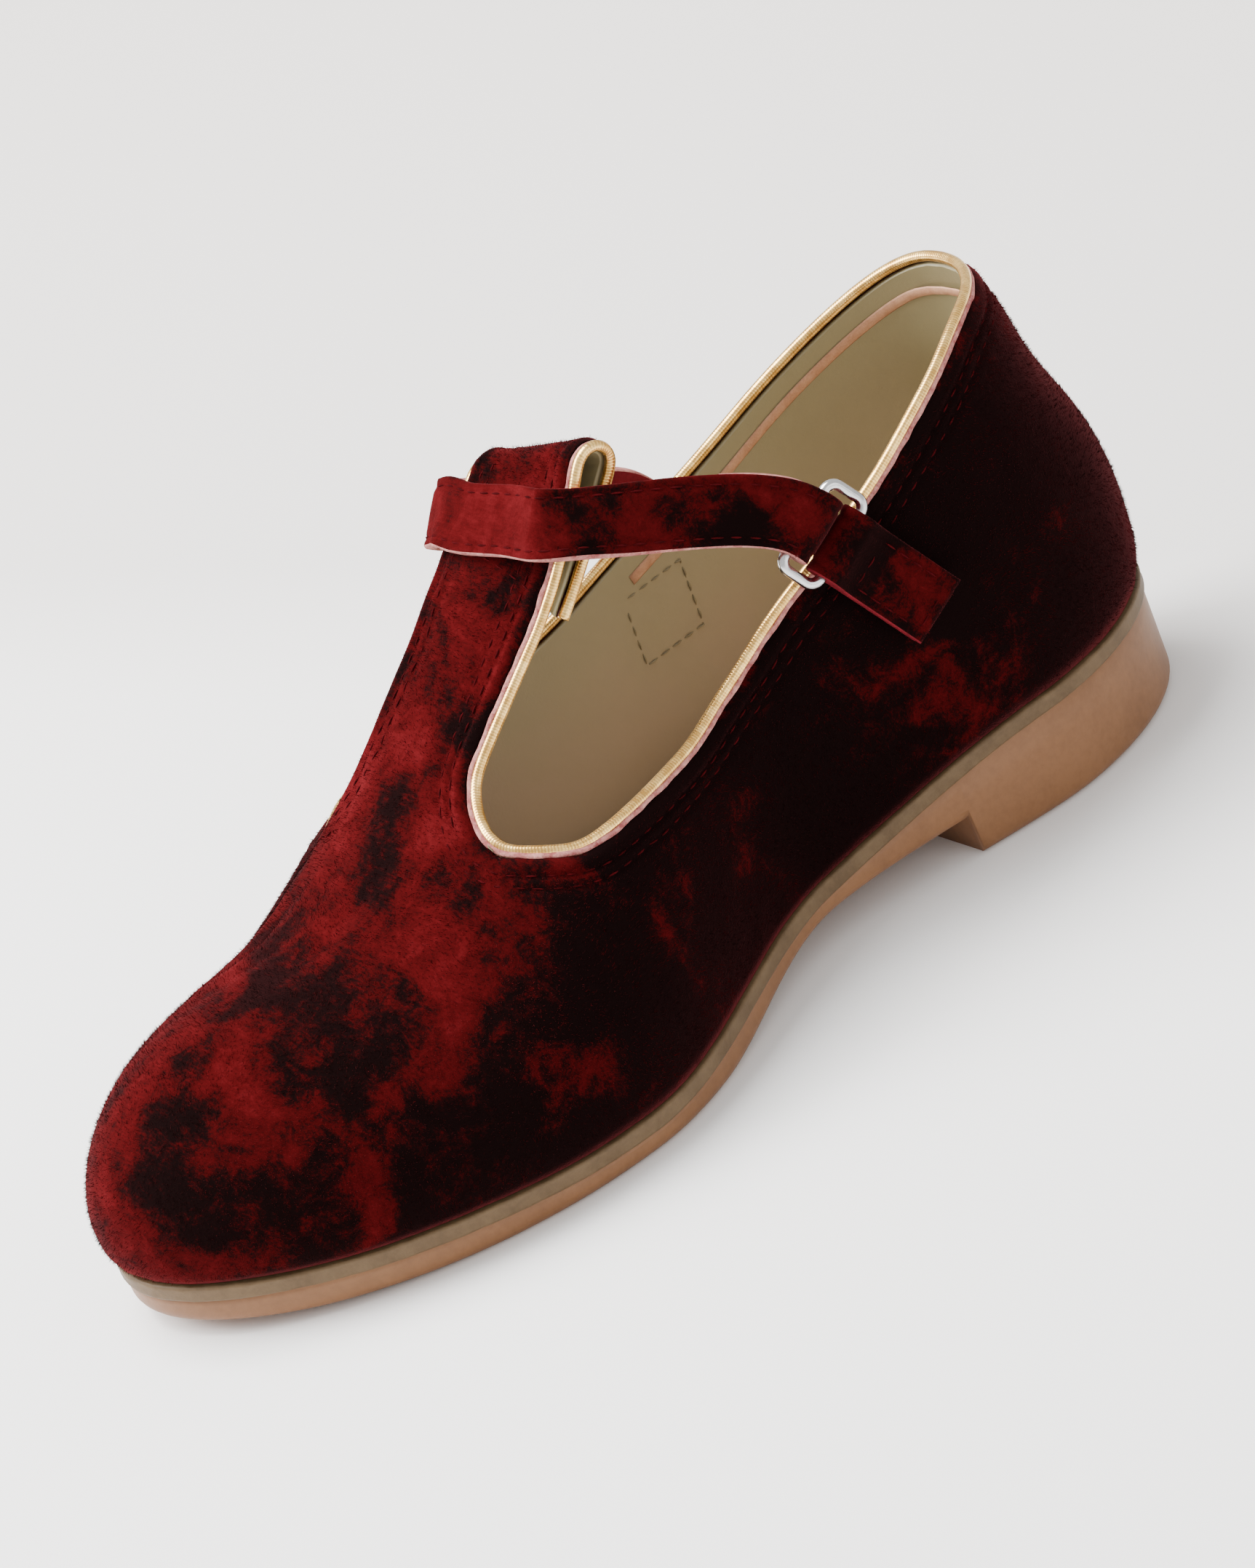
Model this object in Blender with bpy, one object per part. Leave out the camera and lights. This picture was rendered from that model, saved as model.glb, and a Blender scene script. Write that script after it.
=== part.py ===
"""A child's T-bar mary jane, left shoe: velvet upper on a one-piece rubber unit sole.

Toe towards -Y, heel towards +Y, outer side towards +X, floor at Z = 0. The origin is the centre of
the heel's ground face. "Along" is a share of LENGTH from the toe, and side is 1 on the outer half
of the shoe and -1 on the inner half. A station is one cross-section of the last.
"""

import math

import bmesh
import bpy
import numpy as np

MM = 0.001

# Driving dimensions of the last
LENGTH = 168 * MM  # feather line, toe to heel
BALL_WIDTH = 66 * MM
WAIST_WIDTH = 41 * MM
HEEL_WIDTH = 46.5 * MM
TOE_HEIGHT = 32.4 * MM  # top of the toe box above the floor
INSTEP_HEIGHT = 54.9 * MM  # ridge above the floor at the T-strap's root
COLLAR_HEIGHT = 65 * MM  # top edge above the floor beside the heel
FOREFOOT_SEAT = 5.6 * MM  # feather line above the floor at the ball
HEEL_SEAT = 16.2 * MM  # feather line above the floor at the heel
TOE_SPRING = 3.2 * MM  # rise of the feather line at the toe
HEEL_REST = 0.86  # along, of the heel's ground centre

# Upper
WALL = 1.8 * MM
CLEARANCE = 0.3 * MM
T_WIDTH = 19.0 * MM
T_CENTRE = -2.2 * MM  # across, of the T-strap's centre line
T_LEAVES = 0.480  # along, where the T-strap leaves the last
T_RISE = 16.9 * MM  # length of the T-strap's free front layer
T_SKEW = 6.8 * MM  # its outer edge is this much longer than its inner edge
T_FLAT = 14.0 * MM  # above this rise it is flat across, below it still arches like the last
T_FOLD_RADIUS = 3.5 * MM  # outside of the fold at the T-strap's top
T_LEAN = (42.4, 12)  # degrees: its slope at the root, and how much more its outer edge turns up
T_TAIL = 1.5 * MM  # the folded layer ends this far above the root
THROAT = {1: 0.349, -1: 0.320}  # along, of the front of each side opening
PIPING_RADIUS = 0.75 * MM

# Sole
SOLE_MARGIN = 0.5 * MM  # the sole's edge stands this far outside the feather line
LIP_HEIGHT = 2.2 * MM
LIP_STEP = 0.45 * MM
SOLE_ROUND = 1.7 * MM  # radius under the sole's edge
SOLE_THICKNESS = 6.4 * MM  # at the toe
ARCH_THICKNESS = 5.4 * MM
HEEL_BREAST = 0.727  # along
INSOLE_THICKNESS = 2.0 * MM

# Strap, tab and buckle
STRAP_WIDTH = 9.2 * MM
STRAP_THICKNESS = 1.9 * MM
STRAP_HEIGHT = 67.7 * MM  # of its middle above the floor, where it crosses the T-strap
STRAP_WRAP = 4.0 * MM  # radius of its middle round the T-strap's inner edge
STRAP_LIFT = 2.4 * MM  # more room above the T-strap at its outer edge
STRAP_TWIST = 15  # degrees: it turns this much more upright round that edge
STRAP_BOW = 1.5 * MM  # how far it bows out between the inner quarter and the T-strap
STRAP_ALONG = 0.700  # along, where it crosses the inner top edge
STRAP_ROOT = 11.0 * MM  # length sewn on the inner quarter
STRAP_TAIL = 12.0 * MM  # length folded back under the ring's bar
STRAP_CLOSES = 7.0 * MM  # from the ring to where its two layers lie together
TAB_WIDTH = 9.6 * MM
TAB_THICKNESS = 1.2 * MM
TAB_LENGTH = 15.5 * MM
WIRE_RADIUS = 0.75 * MM
RING_WIDTH = 14.1 * MM  # outside, across the strap
RING_LENGTH = 7.2 * MM  # outside, along the strap
RING_TILT = 4  # degrees, in from the tab's plane
RING_CORNER = 1.5 * MM  # of the wire's centre line
TAB_ALONG = 0.707  # along, where the tab's fold meets the top edge
TAB_ABOVE = 1.0 * MM  # the ring's lower bar lies this far above the top edge

# Plan of the last: along, width, centre line's offset to the outer side
PLAN = np.array([
    (0.00, 0.86 * BALL_WIDTH, -0.053 * BALL_WIDTH),
    (0.18, 0.95 * BALL_WIDTH, -0.028 * BALL_WIDTH),
    (0.34, 1.00 * BALL_WIDTH, -0.010 * BALL_WIDTH),
    (0.60, 1.00 * WAIST_WIDTH, -0.040 * WAIST_WIDTH),
    (0.84, 1.00 * HEEL_WIDTH, 0.012 * HEEL_WIDTH),
    (1.00, 0.98 * HEEL_WIDTH, 0.016 * HEEL_WIDTH),
])
TOE_CAP = 0.30  # share of the length that rounds off towards the toe
TOE_POWER = 2.0
HEEL_CAP = 0.20
HEEL_POWER = 2.15

# Feather line above the floor: along, height
SEAT_RISE = HEEL_SEAT - FOREFOOT_SEAT
FEATHER = np.array([
    (0.00, FOREFOOT_SEAT + TOE_SPRING),
    (0.14, FOREFOOT_SEAT + 0.38 * TOE_SPRING),
    (0.33, FOREFOOT_SEAT),
    (0.60, FOREFOOT_SEAT + 0.44 * SEAT_RISE),
    (0.82, HEEL_SEAT),
    (1.00, HEEL_SEAT),
])

# Ridge of the last, carried on above the openings: along, height, offset to the outer side
RIDGE = np.array([
    (0.00, 0.804 * TOE_HEIGHT, -0.050 * BALL_WIDTH),
    (0.12, 1.000 * TOE_HEIGHT, -0.050 * BALL_WIDTH),
    (0.22, 1.004 * TOE_HEIGHT, -0.032 * BALL_WIDTH),
    (0.32, 0.735 * INSTEP_HEIGHT, -0.048 * BALL_WIDTH),
    (0.42, 1.000 * INSTEP_HEIGHT, -0.120 * BALL_WIDTH),
    (0.52, 1.268 * INSTEP_HEIGHT, -0.100 * BALL_WIDTH),
    (0.70, 1.682 * INSTEP_HEIGHT, -0.030 * BALL_WIDTH),
    (0.84, 1.500 * INSTEP_HEIGHT, 0.010 * BALL_WIDTH),
])
ARCH_POWER = 2.15  # 2 is an ellipse, more is squarer
RIDGE_ENDS = (0.13, 0.83)  # along, where the stations start to fan round the toe and the heel
RIDGE_BLEND = (0.055, 0.03)
TOE_POLE = 0.05  # along, the stations ahead of this one meet in one point of the ridge
EDGE_BULGE = (1.9 * MM, 0.9 * MM, 2.2 * MM)  # over the sole's edge at toe, waist and heel
HEEL_HOLLOW = (1.9 * MM, 0.50, 0.15)  # depth at the back, and its height's middle and half spread

# Top edge of each side: along, height
TOP_EDGE = {
    1: np.array([
        (0.355, 0.565 * COLLAR_HEIGHT),
        (0.415, 0.554 * COLLAR_HEIGHT),
        (0.520, 0.559 * COLLAR_HEIGHT),
        (0.588, 0.610 * COLLAR_HEIGHT),
        (0.642, 0.681 * COLLAR_HEIGHT),
        (0.748, 0.808 * COLLAR_HEIGHT),
        (0.831, 0.912 * COLLAR_HEIGHT),
        (0.922, 0.977 * COLLAR_HEIGHT),
        (1.00, 0.990 * COLLAR_HEIGHT),
    ]),
    -1: np.array([
        (0.320, 0.515 * COLLAR_HEIGHT),
        (0.415, 0.5485 * COLLAR_HEIGHT),
        (0.525, 0.597 * COLLAR_HEIGHT),
        (0.637, 0.668 * COLLAR_HEIGHT),
        (0.753, 0.743 * COLLAR_HEIGHT),
        (0.850, 0.832 * COLLAR_HEIGHT),
        (0.922, 0.906 * COLLAR_HEIGHT),
        (1.00, 0.990 * COLLAR_HEIGHT),
    ]),
}
# Each side opening's front: height of its foremost point, and how far back it rounds off
THROAT_HEIGHT = {1: 0.602 * COLLAR_HEIGHT, -1: 0.535 * COLLAR_HEIGHT}
THROAT_ROUND_TOP = {1: 0.033, -1: 0.120}  # share of the length, on the T-strap's side
THROAT_ROUND_LOW = 0.050  # on the quarter's side
THROAT_POWER = 1.68  # 2 is an ellipse, less is more pointed

# Colours
VELVET = (0.10, 0.006, 0.010)
GOLD = (0.80, 0.62, 0.30)
RUBBER = (0.45, 0.27, 0.16)
LINING = (0.42, 0.32, 0.22)
STEEL = (0.75, 0.75, 0.76)


def smooth(table, at, column=1):
    """Reads a table's column at a share, on a curve that doesn't overshoot its rows."""
    x, y = table[:, 0], table[:, column]
    at = np.clip(np.asarray(at, float), x[0], x[-1])
    step = np.diff(x)
    slope = np.diff(y) / step
    tangent = np.zeros(len(x))
    for i in range(1, len(x) - 1):
        if slope[i - 1] * slope[i] > 0:
            w0 = 2 * step[i] + step[i - 1]
            w1 = step[i] + 2 * step[i - 1]
            tangent[i] = (w0 + w1) / (w0 / slope[i - 1] + w1 / slope[i])
    tangent[0], tangent[-1] = slope[0], slope[-1]
    i = np.clip(np.searchsorted(x, at, side="right") - 1, 0, len(x) - 2)
    h, s = step[i], (at - x[i]) / step[i]
    return (
        y[i] * (1 + 2 * s) * (1 - s) ** 2
        + y[i + 1] * s**2 * (3 - 2 * s)
        + h * (tangent[i] * s * (1 - s) ** 2 - tangent[i + 1] * s**2 * (1 - s))
    )


def unit(v):
    return v / np.maximum(np.linalg.norm(v, axis=-1, keepdims=True), 1e-12)


def lengthwise(along):
    return (np.asarray(along, float) - HEEL_REST) * LENGTH


def plan(along):
    """Centre line and half width of the feather line."""
    along = np.asarray(along, float)
    toe = np.clip(1 - along / TOE_CAP, 0, 1)
    heel = np.clip((along - (1 - HEEL_CAP)) / HEEL_CAP, 0, 1)
    cap = (1 - toe**TOE_POWER) ** (1 / TOE_POWER) * (1 - heel**HEEL_POWER) ** (1 / HEEL_POWER)
    return smooth(PLAN, along, 2), smooth(PLAN, along, 1) * cap / 2


def ridge_station(along):
    """Along, held back near the ends so that the stations fan round the toe and the heel."""
    along = np.maximum(along, TOE_POLE)
    low, high = RIDGE_ENDS
    toe, heel = RIDGE_BLEND
    rise = toe * np.logaddexp(0, (along - low) / toe)
    return low + rise - heel * np.logaddexp(0, (along - high) / heel)


def feather_point(along, side):
    centre, half = plan(along)
    return np.stack([centre + side * half, lengthwise(along), smooth(FEATHER, along)], -1)


def ridge_point(along):
    at = ridge_station(np.asarray(along, float))
    return np.stack([smooth(RIDGE, at, 2), lengthwise(at), smooth(RIDGE, at)], -1)


def last(along, side, angle):
    """The last's outside: angle runs from 0 at the feather line to a quarter turn at the ridge."""
    along, angle = np.broadcast_arrays(np.asarray(along, float), np.asarray(angle, float))
    foot, ridge = feather_point(along, side), ridge_point(along)
    inward = 1 - np.cos(angle) ** (2 / ARCH_POWER)
    upward = np.sin(angle) ** (2 / ARCH_POWER)
    toe, waist, heel = EDGE_BULGE
    bulge = np.interp(along, (0, 0.45, 0.6, 1), (toe, waist, waist, heel))
    swell = bulge * np.sin(np.pi * np.clip(upward, 0, 1) ** 0.6)
    hollow, middle, spread = HEEL_HOLLOW
    behind = np.clip((along - 0.84) / 0.14, 0, 1)
    swell = swell - hollow * behind**2 * np.exp(-(((upward - middle) / spread) ** 2))
    out = unit((foot - ridge)[..., :2])
    point = foot + (ridge - foot) * np.stack([inward, inward, upward], -1)
    point[..., :2] += out * swell[..., None]
    return point


def angle_at_height(along, side, height):
    foot, ridge = feather_point(along, side)[..., 2], ridge_point(along)[..., 2]
    share = np.clip((height - foot) / (ridge - foot), 0, 1)
    return np.arcsin(share ** (ARCH_POWER / 2))


def angle_at_width(along, side, across):
    """The angle at which a station passes a given distance across."""
    angles = np.linspace(0.35, math.pi / 2, 60)
    x = side * last(np.full(60, along), side, angles)[:, 0]
    return float(np.interp(-side * across, -x, angles))


def throat_round(share):
    return (1 - (1 - share) ** THROAT_POWER) ** (1 / THROAT_POWER)


def opening_edges(along, side):
    """Angles of the quarter's top edge and of the T-strap's edge, which meet at the throat."""
    start = THROAT[side]
    middle = angle_at_height(start, side, THROAT_HEIGHT[side])
    t_edge = angle_at_width(along, side, T_CENTRE + side * T_WIDTH / 2)
    if along <= start:
        return middle + 0.25 * (along - start), middle + 0.25 * (along - start)
    low = min((along - start) / THROAT_ROUND_LOW, 1)
    top = min((along - start) / THROAT_ROUND_TOP[side], 1)
    quarter = angle_at_height(along, side, smooth(TOP_EDGE[side], along))
    opened_low = middle + (quarter - middle) * throat_round(low)
    opened_top = middle + (t_edge - middle) * throat_round(top)
    return float(opened_low), float(opened_top)


def stations():
    """The upper's stations, closer together at the toe, the throats and the heel."""
    toe = TOE_CAP * (1 - np.cos(np.linspace(0, math.pi / 2, 9))) ** 1.15
    heel = 1 - HEEL_CAP * (1 - np.cos(np.linspace(0, math.pi / 2, 8))) ** 1.15
    inner = THROAT[-1] + THROAT_ROUND_TOP[-1] * (1 - np.cos(np.linspace(0, math.pi / 2, 7)))
    outer = THROAT[1] + THROAT_ROUND_LOW * (1 - np.cos(np.linspace(0, math.pi / 2, 7)))
    middle = [0.5 * (T_LEAVES + inner[-1]), T_LEAVES, 0.535, 0.59, 0.645, 0.70, 0.755]
    return np.unique(np.round(np.concatenate([toe, inner, outer, middle, heel]), 5))


QUARTER_COLUMNS = 8
T_COLUMNS = {1: 5, -1: 2}  # from each edge of the T-strap to the ridge


def t_root(outer_share):
    """The point where the T-strap leaves the last, from its inner edge to its outer edge."""
    across = T_CENTRE + (outer_share - 0.5) * T_WIDTH
    side = 1 if across > float(ridge_point(T_LEAVES)[0]) else -1
    return last(T_LEAVES, side, angle_at_width(T_LEAVES, side, across))


T_ROOT_EDGES = (t_root(0.0)[2], t_root(1.0)[2])


def t_front(root, outer_share, rise):
    """The T-strap's free front layer above its root, with its direction and its face."""
    start = math.radians(T_LEAN[0])
    lean = start + math.radians(T_LEAN[1]) * outer_share * rise / T_RISE
    middle = (start + lean) / 2
    point = root + rise * np.array([0, math.cos(middle), math.sin(middle)])
    share = min(rise / T_FLAT, 1)
    arched = root[2] - (1 - outer_share) * T_ROOT_EDGES[0] - outer_share * T_ROOT_EDGES[1]
    point[2] -= arched * share**2 * (3 - 2 * share)
    direction = np.array([0, math.cos(lean), math.sin(lean)])
    face = np.array([0, -math.sin(lean), math.cos(lean)])
    return point, direction, face


def t_length(outer_share):
    return T_RISE + T_SKEW * (outer_share - 0.5)


def t_column(root, outer_share):
    """Outside points of one lengthwise line of the free T-strap: up, over the fold and down."""
    length = t_length(outer_share)
    points = [t_front(root, outer_share, length * s)[0] for s in (0.25, 0.5, 0.75, 1.0)]
    top, direction, face = t_front(root, outer_share, length)
    for turn in np.linspace(0, math.pi, 6)[1:]:
        around = math.sin(turn) * direction + (math.cos(turn) - 1) * face
        points.append(top + T_FOLD_RADIUS * around)
    tail_depth = 2 * WALL + 1.5 * CLEARANCE
    for rise in np.linspace(length, T_TAIL, 5)[1:]:
        share = ((rise - T_TAIL) / (length - T_TAIL)) ** 1.3
        depth = tail_depth + (2 * T_FOLD_RADIUS - tail_depth) * share
        point, direction, face = t_front(root, outer_share, rise)
        points.append(point - depth * face)
    return points


def mesh_normals(points, faces):
    normals = np.zeros_like(points)
    for face in faces:
        p = points[list(face)]
        area = np.cross(p[1] - p[0], p[2] - p[0])
        if len(face) == 4:
            area = area + np.cross(p[2] - p[0], p[3] - p[0])
        for i in face:
            normals[i] += area
    return unit(normals)


def rim_faces(faces, shift):
    """Faces that join a skin's open edges to those of its inner copy."""
    used = set()
    for face in faces:
        for a, b in zip(face, face[1:] + face[:1]):
            used.add((a, b))
    return [(b, a, a + shift, b + shift) for a, b in sorted(used) if (b, a) not in used]


class UpperSkin:
    """The upper's outside as a grid, with the points of its edges kept by name."""

    def __init__(self):
        self.at = stations()
        self.points = []
        self.index = {}
        self.faces = []
        self.lay_quarters()
        self.lay_t_strap()
        self.points = np.array(self.points)

    def add(self, key, point):
        if key not in self.index:
            self.index[key] = len(self.points)
            self.points.append(point)
        return self.index[key]

    def face(self, corners, side):
        corners = [c for i, c in enumerate(corners) if c not in corners[:i]]
        if len(corners) > 2:
            self.faces.append(tuple(corners if side > 0 else corners[::-1]))

    def strip(self, a, b, side):
        """Faces between two lines, whether or not they have the same number of points."""
        i = j = 0
        while i < len(a) - 1 or j < len(b) - 1:
            next_a, next_b = (i + 1) * (len(b) - 1), (j + 1) * (len(a) - 1)
            if next_a == next_b:
                self.face([a[i], a[i + 1], b[j + 1], b[j]], side)
                i, j = i + 1, j + 1
            elif next_a < next_b:
                self.face([a[i], a[i + 1], b[j]], side)
                i += 1
            else:
                self.face([a[i], b[j + 1], b[j]], side)
                j += 1

    def lay_quarters(self):
        """Columns from the feather line up to the top edge, on both sides."""
        last_row = len(self.at) - 1
        for side in (1, -1):
            grid = []
            for row, along in enumerate(self.at):
                top = opening_edges(along, side)[0]
                shares = np.linspace(0, 1, QUARTER_COLUMNS + 1)
                line = last(along, side, top * shares)
                shared = 1 if row in (0, last_row) else side
                grid.append([self.add((shared, row, c), p) for c, p in enumerate(line)])
            for a, b in zip(grid, grid[1:]):
                self.strip(a, b, -side)

    def lay_t_strap(self):
        """The vamp's crown and the T-strap: columns from each edge to the ridge, then the fold."""
        rows = [r for r, along in enumerate(self.at) if along <= T_LEAVES + 1e-6]
        lines = []
        for row in rows:
            line = []
            for side in (1, -1):
                along = self.at[row]
                columns = T_COLUMNS[side if row else 1]
                edge = opening_edges(along, side)[1]
                curve = last(along, side, np.linspace(edge, math.pi / 2, columns + 1))
                ids = []
                for c, point in enumerate(curve):
                    half = side if row else 1
                    if c == columns:
                        key = ("ridge", round(float(ridge_station(along)), 6))
                    elif c == 0 and along <= THROAT[side] + 1e-6:
                        key = (half, row, QUARTER_COLUMNS)
                    else:
                        key = ("crown", half, row, c)
                    ids.append(self.add(key, point))
                line.append(ids)
            lines.append(line)
        for a, b in zip(lines, lines[1:]):
            for k, side in ((0, 1), (1, -1)):
                self.strip(a[k], b[k], -side)
        root = lines[-1][0] + lines[-1][1][-2::-1]
        width = [self.points[i][0] for i in root]
        columns = []
        for i, x in zip(root, width):
            share = (x - width[-1]) / (width[0] - width[-1])
            column = [i]
            for k, point in enumerate(t_column(self.points[i], share)):
                column.append(self.add(("t", i, k), point))
            columns.append(column)
        for a, b in zip(columns, columns[1:]):
            for k in range(len(a) - 1):
                self.face([a[k], a[k + 1], b[k + 1], b[k]], 1)
        self.t_columns = columns


def solid(name, points, faces, colour, roughness, metallic=0.0, smooth_angle=40):
    """One closed object with its own material."""
    mesh = bpy.data.meshes.new(name)
    mesh.from_pydata([tuple(map(float, p)) for p in points], [], [tuple(f) for f in faces])
    body = bmesh.new()
    body.from_mesh(mesh)
    bmesh.ops.recalc_face_normals(body, faces=body.faces)
    bmesh.ops.triangulate(body, faces=[f for f in body.faces if len(f.verts) > 3])
    body.to_mesh(mesh)
    body.free()
    mesh.shade_smooth()
    mesh.set_sharp_from_angle(angle=math.radians(smooth_angle))
    item = bpy.data.objects.new(name, mesh)
    bpy.context.collection.objects.link(item)
    material = bpy.data.materials.new(name)
    material.use_nodes = True
    shader = material.node_tree.nodes["Principled BSDF"]
    shader.inputs["Base Color"].default_value = (*colour, 1)
    shader.inputs["Roughness"].default_value = roughness
    shader.inputs["Metallic"].default_value = metallic
    mesh.materials.append(material)
    return item


def make_upper(skin):
    """The hollow shell: the skin, its inner copy one wall inside, and the rims between them."""
    outer = skin.points
    normals = mesh_normals(outer, skin.faces)
    for key, i in skin.index.items():
        if len(key) == 3 and key[2] == 0:
            normals[i, 2] = 0
    normals = unit(normals)
    inner = outer - WALL * normals
    shift = len(outer)
    faces = list(skin.faces)
    faces += [tuple(i + shift for i in face[::-1]) for face in skin.faces]
    faces += rim_faces(skin.faces, shift)
    solid("upper", np.vstack([outer, inner]), faces, VELVET, 0.85)


def sole_stations():
    """The sole's stations, closer together at the toe, the heel's breast and the heel."""
    toe = TOE_CAP * (1 - np.cos(np.linspace(0, math.pi / 2, 10))) ** 1.15
    heel = 1 - HEEL_CAP * (1 - np.cos(np.linspace(0, math.pi / 2, 9))) ** 1.15
    middle = np.array([0.345, 0.39, 0.44, 0.48, 0.52, 0.56, 0.60, 0.64, 0.68, 0.76])
    breast = HEEL_BREAST + np.array([-0.0015, 0])
    return np.unique(np.round(np.concatenate([toe, middle, breast, heel]), 5))


def outline_ring(at, inset):
    """The plan outline moved inwards: outer side from toe to heel, then inner side back."""
    outer = feather_point(at, 1)[:, :2]
    inner = feather_point(at, -1)[-2:0:-1, :2]
    ring = np.vstack([outer, inner])
    ahead, behind = np.roll(ring, -1, 0), np.roll(ring, 1, 0)
    tangent = unit(unit(ahead - ring) + unit(ring - behind))
    outward = np.stack([tangent[:, 1], -tangent[:, 0]], -1)
    return ring - outward * np.asarray(inset, float).reshape(-1, 1)


def around_ring(values):
    return np.concatenate([values, values[-2:0:-1]])


def ring_solid(name, at, levels, colour, roughness):
    """A solid between stacked rings, each an inset and a height per station, top one first."""
    count = 2 * (len(at) - 1)
    points, faces = [], []
    for inset, height in levels:
        inset = np.broadcast_to(np.asarray(inset, float), at.shape)
        plan_ring = outline_ring(at, around_ring(inset))
        points.append(np.column_stack([plan_ring, around_ring(height)]))
    for level in range(len(levels) - 1):
        for a in range(count):
            b = (a + 1) % count
            corner = level * count
            faces.append((corner + a, corner + b, corner + count + b, corner + count + a))
    for start in (0, (len(levels) - 1) * count):
        for row in range(len(at) - 1):
            corners = [row, row + 1, (count - row - 1) % count, (count - row) % count]
            corners = [c for i, c in enumerate(corners) if c not in corners[:i]]
            faces.append(tuple(start + c for c in corners))
    return solid(name, np.vstack(points), faces, colour, roughness)


def sole_bottom(at):
    """Height of the sole's underside: toe spring, flat tread, arch, upright breast and heel."""
    toe_seat = FOREFOOT_SEAT + TOE_SPRING
    arch = FOREFOOT_SEAT + 0.44 * SEAT_RISE - ARCH_THICKNESS
    table = np.array([
        (0.00, toe_seat - SOLE_THICKNESS),
        (0.10, 0.30 * (toe_seat - SOLE_THICKNESS)),
        (0.22, 0.0),
        (0.42, 0.0),
        (0.60, arch),
        (HEEL_BREAST, 1.15 * arch),
    ])
    return np.where(at < HEEL_BREAST - 1e-6, smooth(table, at), 0.0)


def make_outsole():
    """One moulded unit: a lip above a step, a wall rounded under, an arch and a block heel."""
    at = sole_stations()
    top = smooth(FEATHER, at) - CLEARANCE
    bottom = sole_bottom(at)
    groove = top - LIP_HEIGHT - 0.8 * LIP_STEP
    rounding = np.minimum(SOLE_ROUND, 0.8 * (groove - bottom))
    edge = -SOLE_MARGIN
    wall = edge + LIP_STEP
    levels = [(edge + 0.4 * LIP_STEP, top), (edge, top - 0.6 * LIP_STEP)]
    levels += [(edge, top - LIP_HEIGHT), (wall, groove)]
    for turn in np.radians((0, 30, 60, 90)):
        inset = wall + rounding * (1 - math.cos(turn))
        levels.append((inset, bottom + rounding * (1 - math.sin(turn))))
    ring_solid("outsole", at, levels, RUBBER, 0.5)


def make_insole():
    """The leather-covered sock inside the upper, on the unit sole."""
    at = sole_stations()
    seat = smooth(FEATHER, at)
    inset = WALL + 2 * CLEARANCE
    soft_edge = 0.3 * INSOLE_THICKNESS
    levels = [
        (inset + 2 * soft_edge, seat + INSOLE_THICKNESS),
        (inset, seat + INSOLE_THICKNESS - soft_edge),
        (inset, seat),
    ]
    ring_solid("insole", at, levels, LINING, 0.7)


def swept(name, centres, sides, faces_out, profile, colour, roughness, metallic=0.0, loop=False):
    """Sweeps a closed profile of (side, out) points along a path of frames."""
    count, size = len(centres), len(profile)
    points = [c + p[0] * s + p[1] * f for c, s, f in zip(centres, sides, faces_out) for p in profile]
    faces = []
    for row in range(count if loop else count - 1):
        a, b = row * size, ((row + 1) % count) * size
        for i in range(size):
            j = (i + 1) % size
            faces.append((a + i, a + j, b + j, b + i))
    if not loop:
        faces += [tuple(range(size)), tuple(range((count - 1) * size, count * size))]
    return solid(name, points, faces, colour, roughness, metallic)


def circle_profile(radius, corners):
    turns = [2 * math.pi * (i + 0.5) / corners for i in range(corners)]
    return [(radius * math.cos(t), radius * math.sin(t)) for t in turns]


def band_profile(width, thickness):
    """A flat band's section with its corners taken off."""
    w, t, c = width / 2, thickness / 2, 0.3 * thickness
    return [(w, -t + c), (w, t - c), (w - c, t), (-w + c, t), (-w, t - c), (-w, c - t),
            (-w + c, -t), (w - c, -t)]


def edge_path(skin):
    """The upper's free edge, from the folded tail's outer corner round to its inner corner."""
    rows = range(len(skin.at))
    last_row = rows[-1]
    top = QUARTER_COLUMNS
    crown = {
        s: [skin.index["crown", s, r, 0] for r in rows
            if ("crown", s, r, 0) in skin.index and skin.at[r] > THROAT[s] + 1e-6]
        for s in (1, -1)
    }
    quarter = {
        s: [skin.index[s, r, top] for r in rows if r != last_row and skin.at[r] >= THROAT[s] - 1e-6]
        for s in (1, -1)
    }
    heel = skin.index[1, last_row, top]
    outer = skin.t_columns[0][:0:-1] + crown[1][::-1] + quarter[1] + [heel]
    return outer + quarter[-1][::-1] + crown[-1] + skin.t_columns[-1][1:]


def make_piping(skin):
    """Piping laid along the upper's free edge, a clearance outside it."""
    path = edge_path(skin)
    normals = mesh_normals(skin.points, skin.faces)
    inside = {i: [] for i in path}
    for face in skin.faces:
        for i in face:
            if i in inside:
                inside[i].append(skin.points[list(face)].mean(0))
    middle = np.array([skin.points[i] - WALL / 2 * normals[i] for i in path])
    tangent = unit(np.gradient(middle, axis=0))
    outward = unit(np.cross(tangent, normals[path]))
    towards = np.array([np.mean(inside[i], 0) - skin.points[i] for i in path])
    outward *= -np.sign((outward * towards).sum(1, keepdims=True))
    centres = middle + outward * (CLEARANCE + PIPING_RADIUS)
    profile = circle_profile(PIPING_RADIUS, 6)
    swept("edge_piping", centres, outward, normals[path], profile, GOLD, 0.35, 0.8)


def shell_frame(along, side, height):
    """A point on the upper's outside with the outward normal there."""
    angle = angle_at_height(along, side, height)
    point = last(along, side, angle)
    ahead = last(along + 0.004, side, angle) - last(along - 0.004, side, angle)
    above = last(along, side, angle + 0.02) - last(along, side, angle - 0.02)
    return point, unit(side * np.cross(ahead, above))


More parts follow.
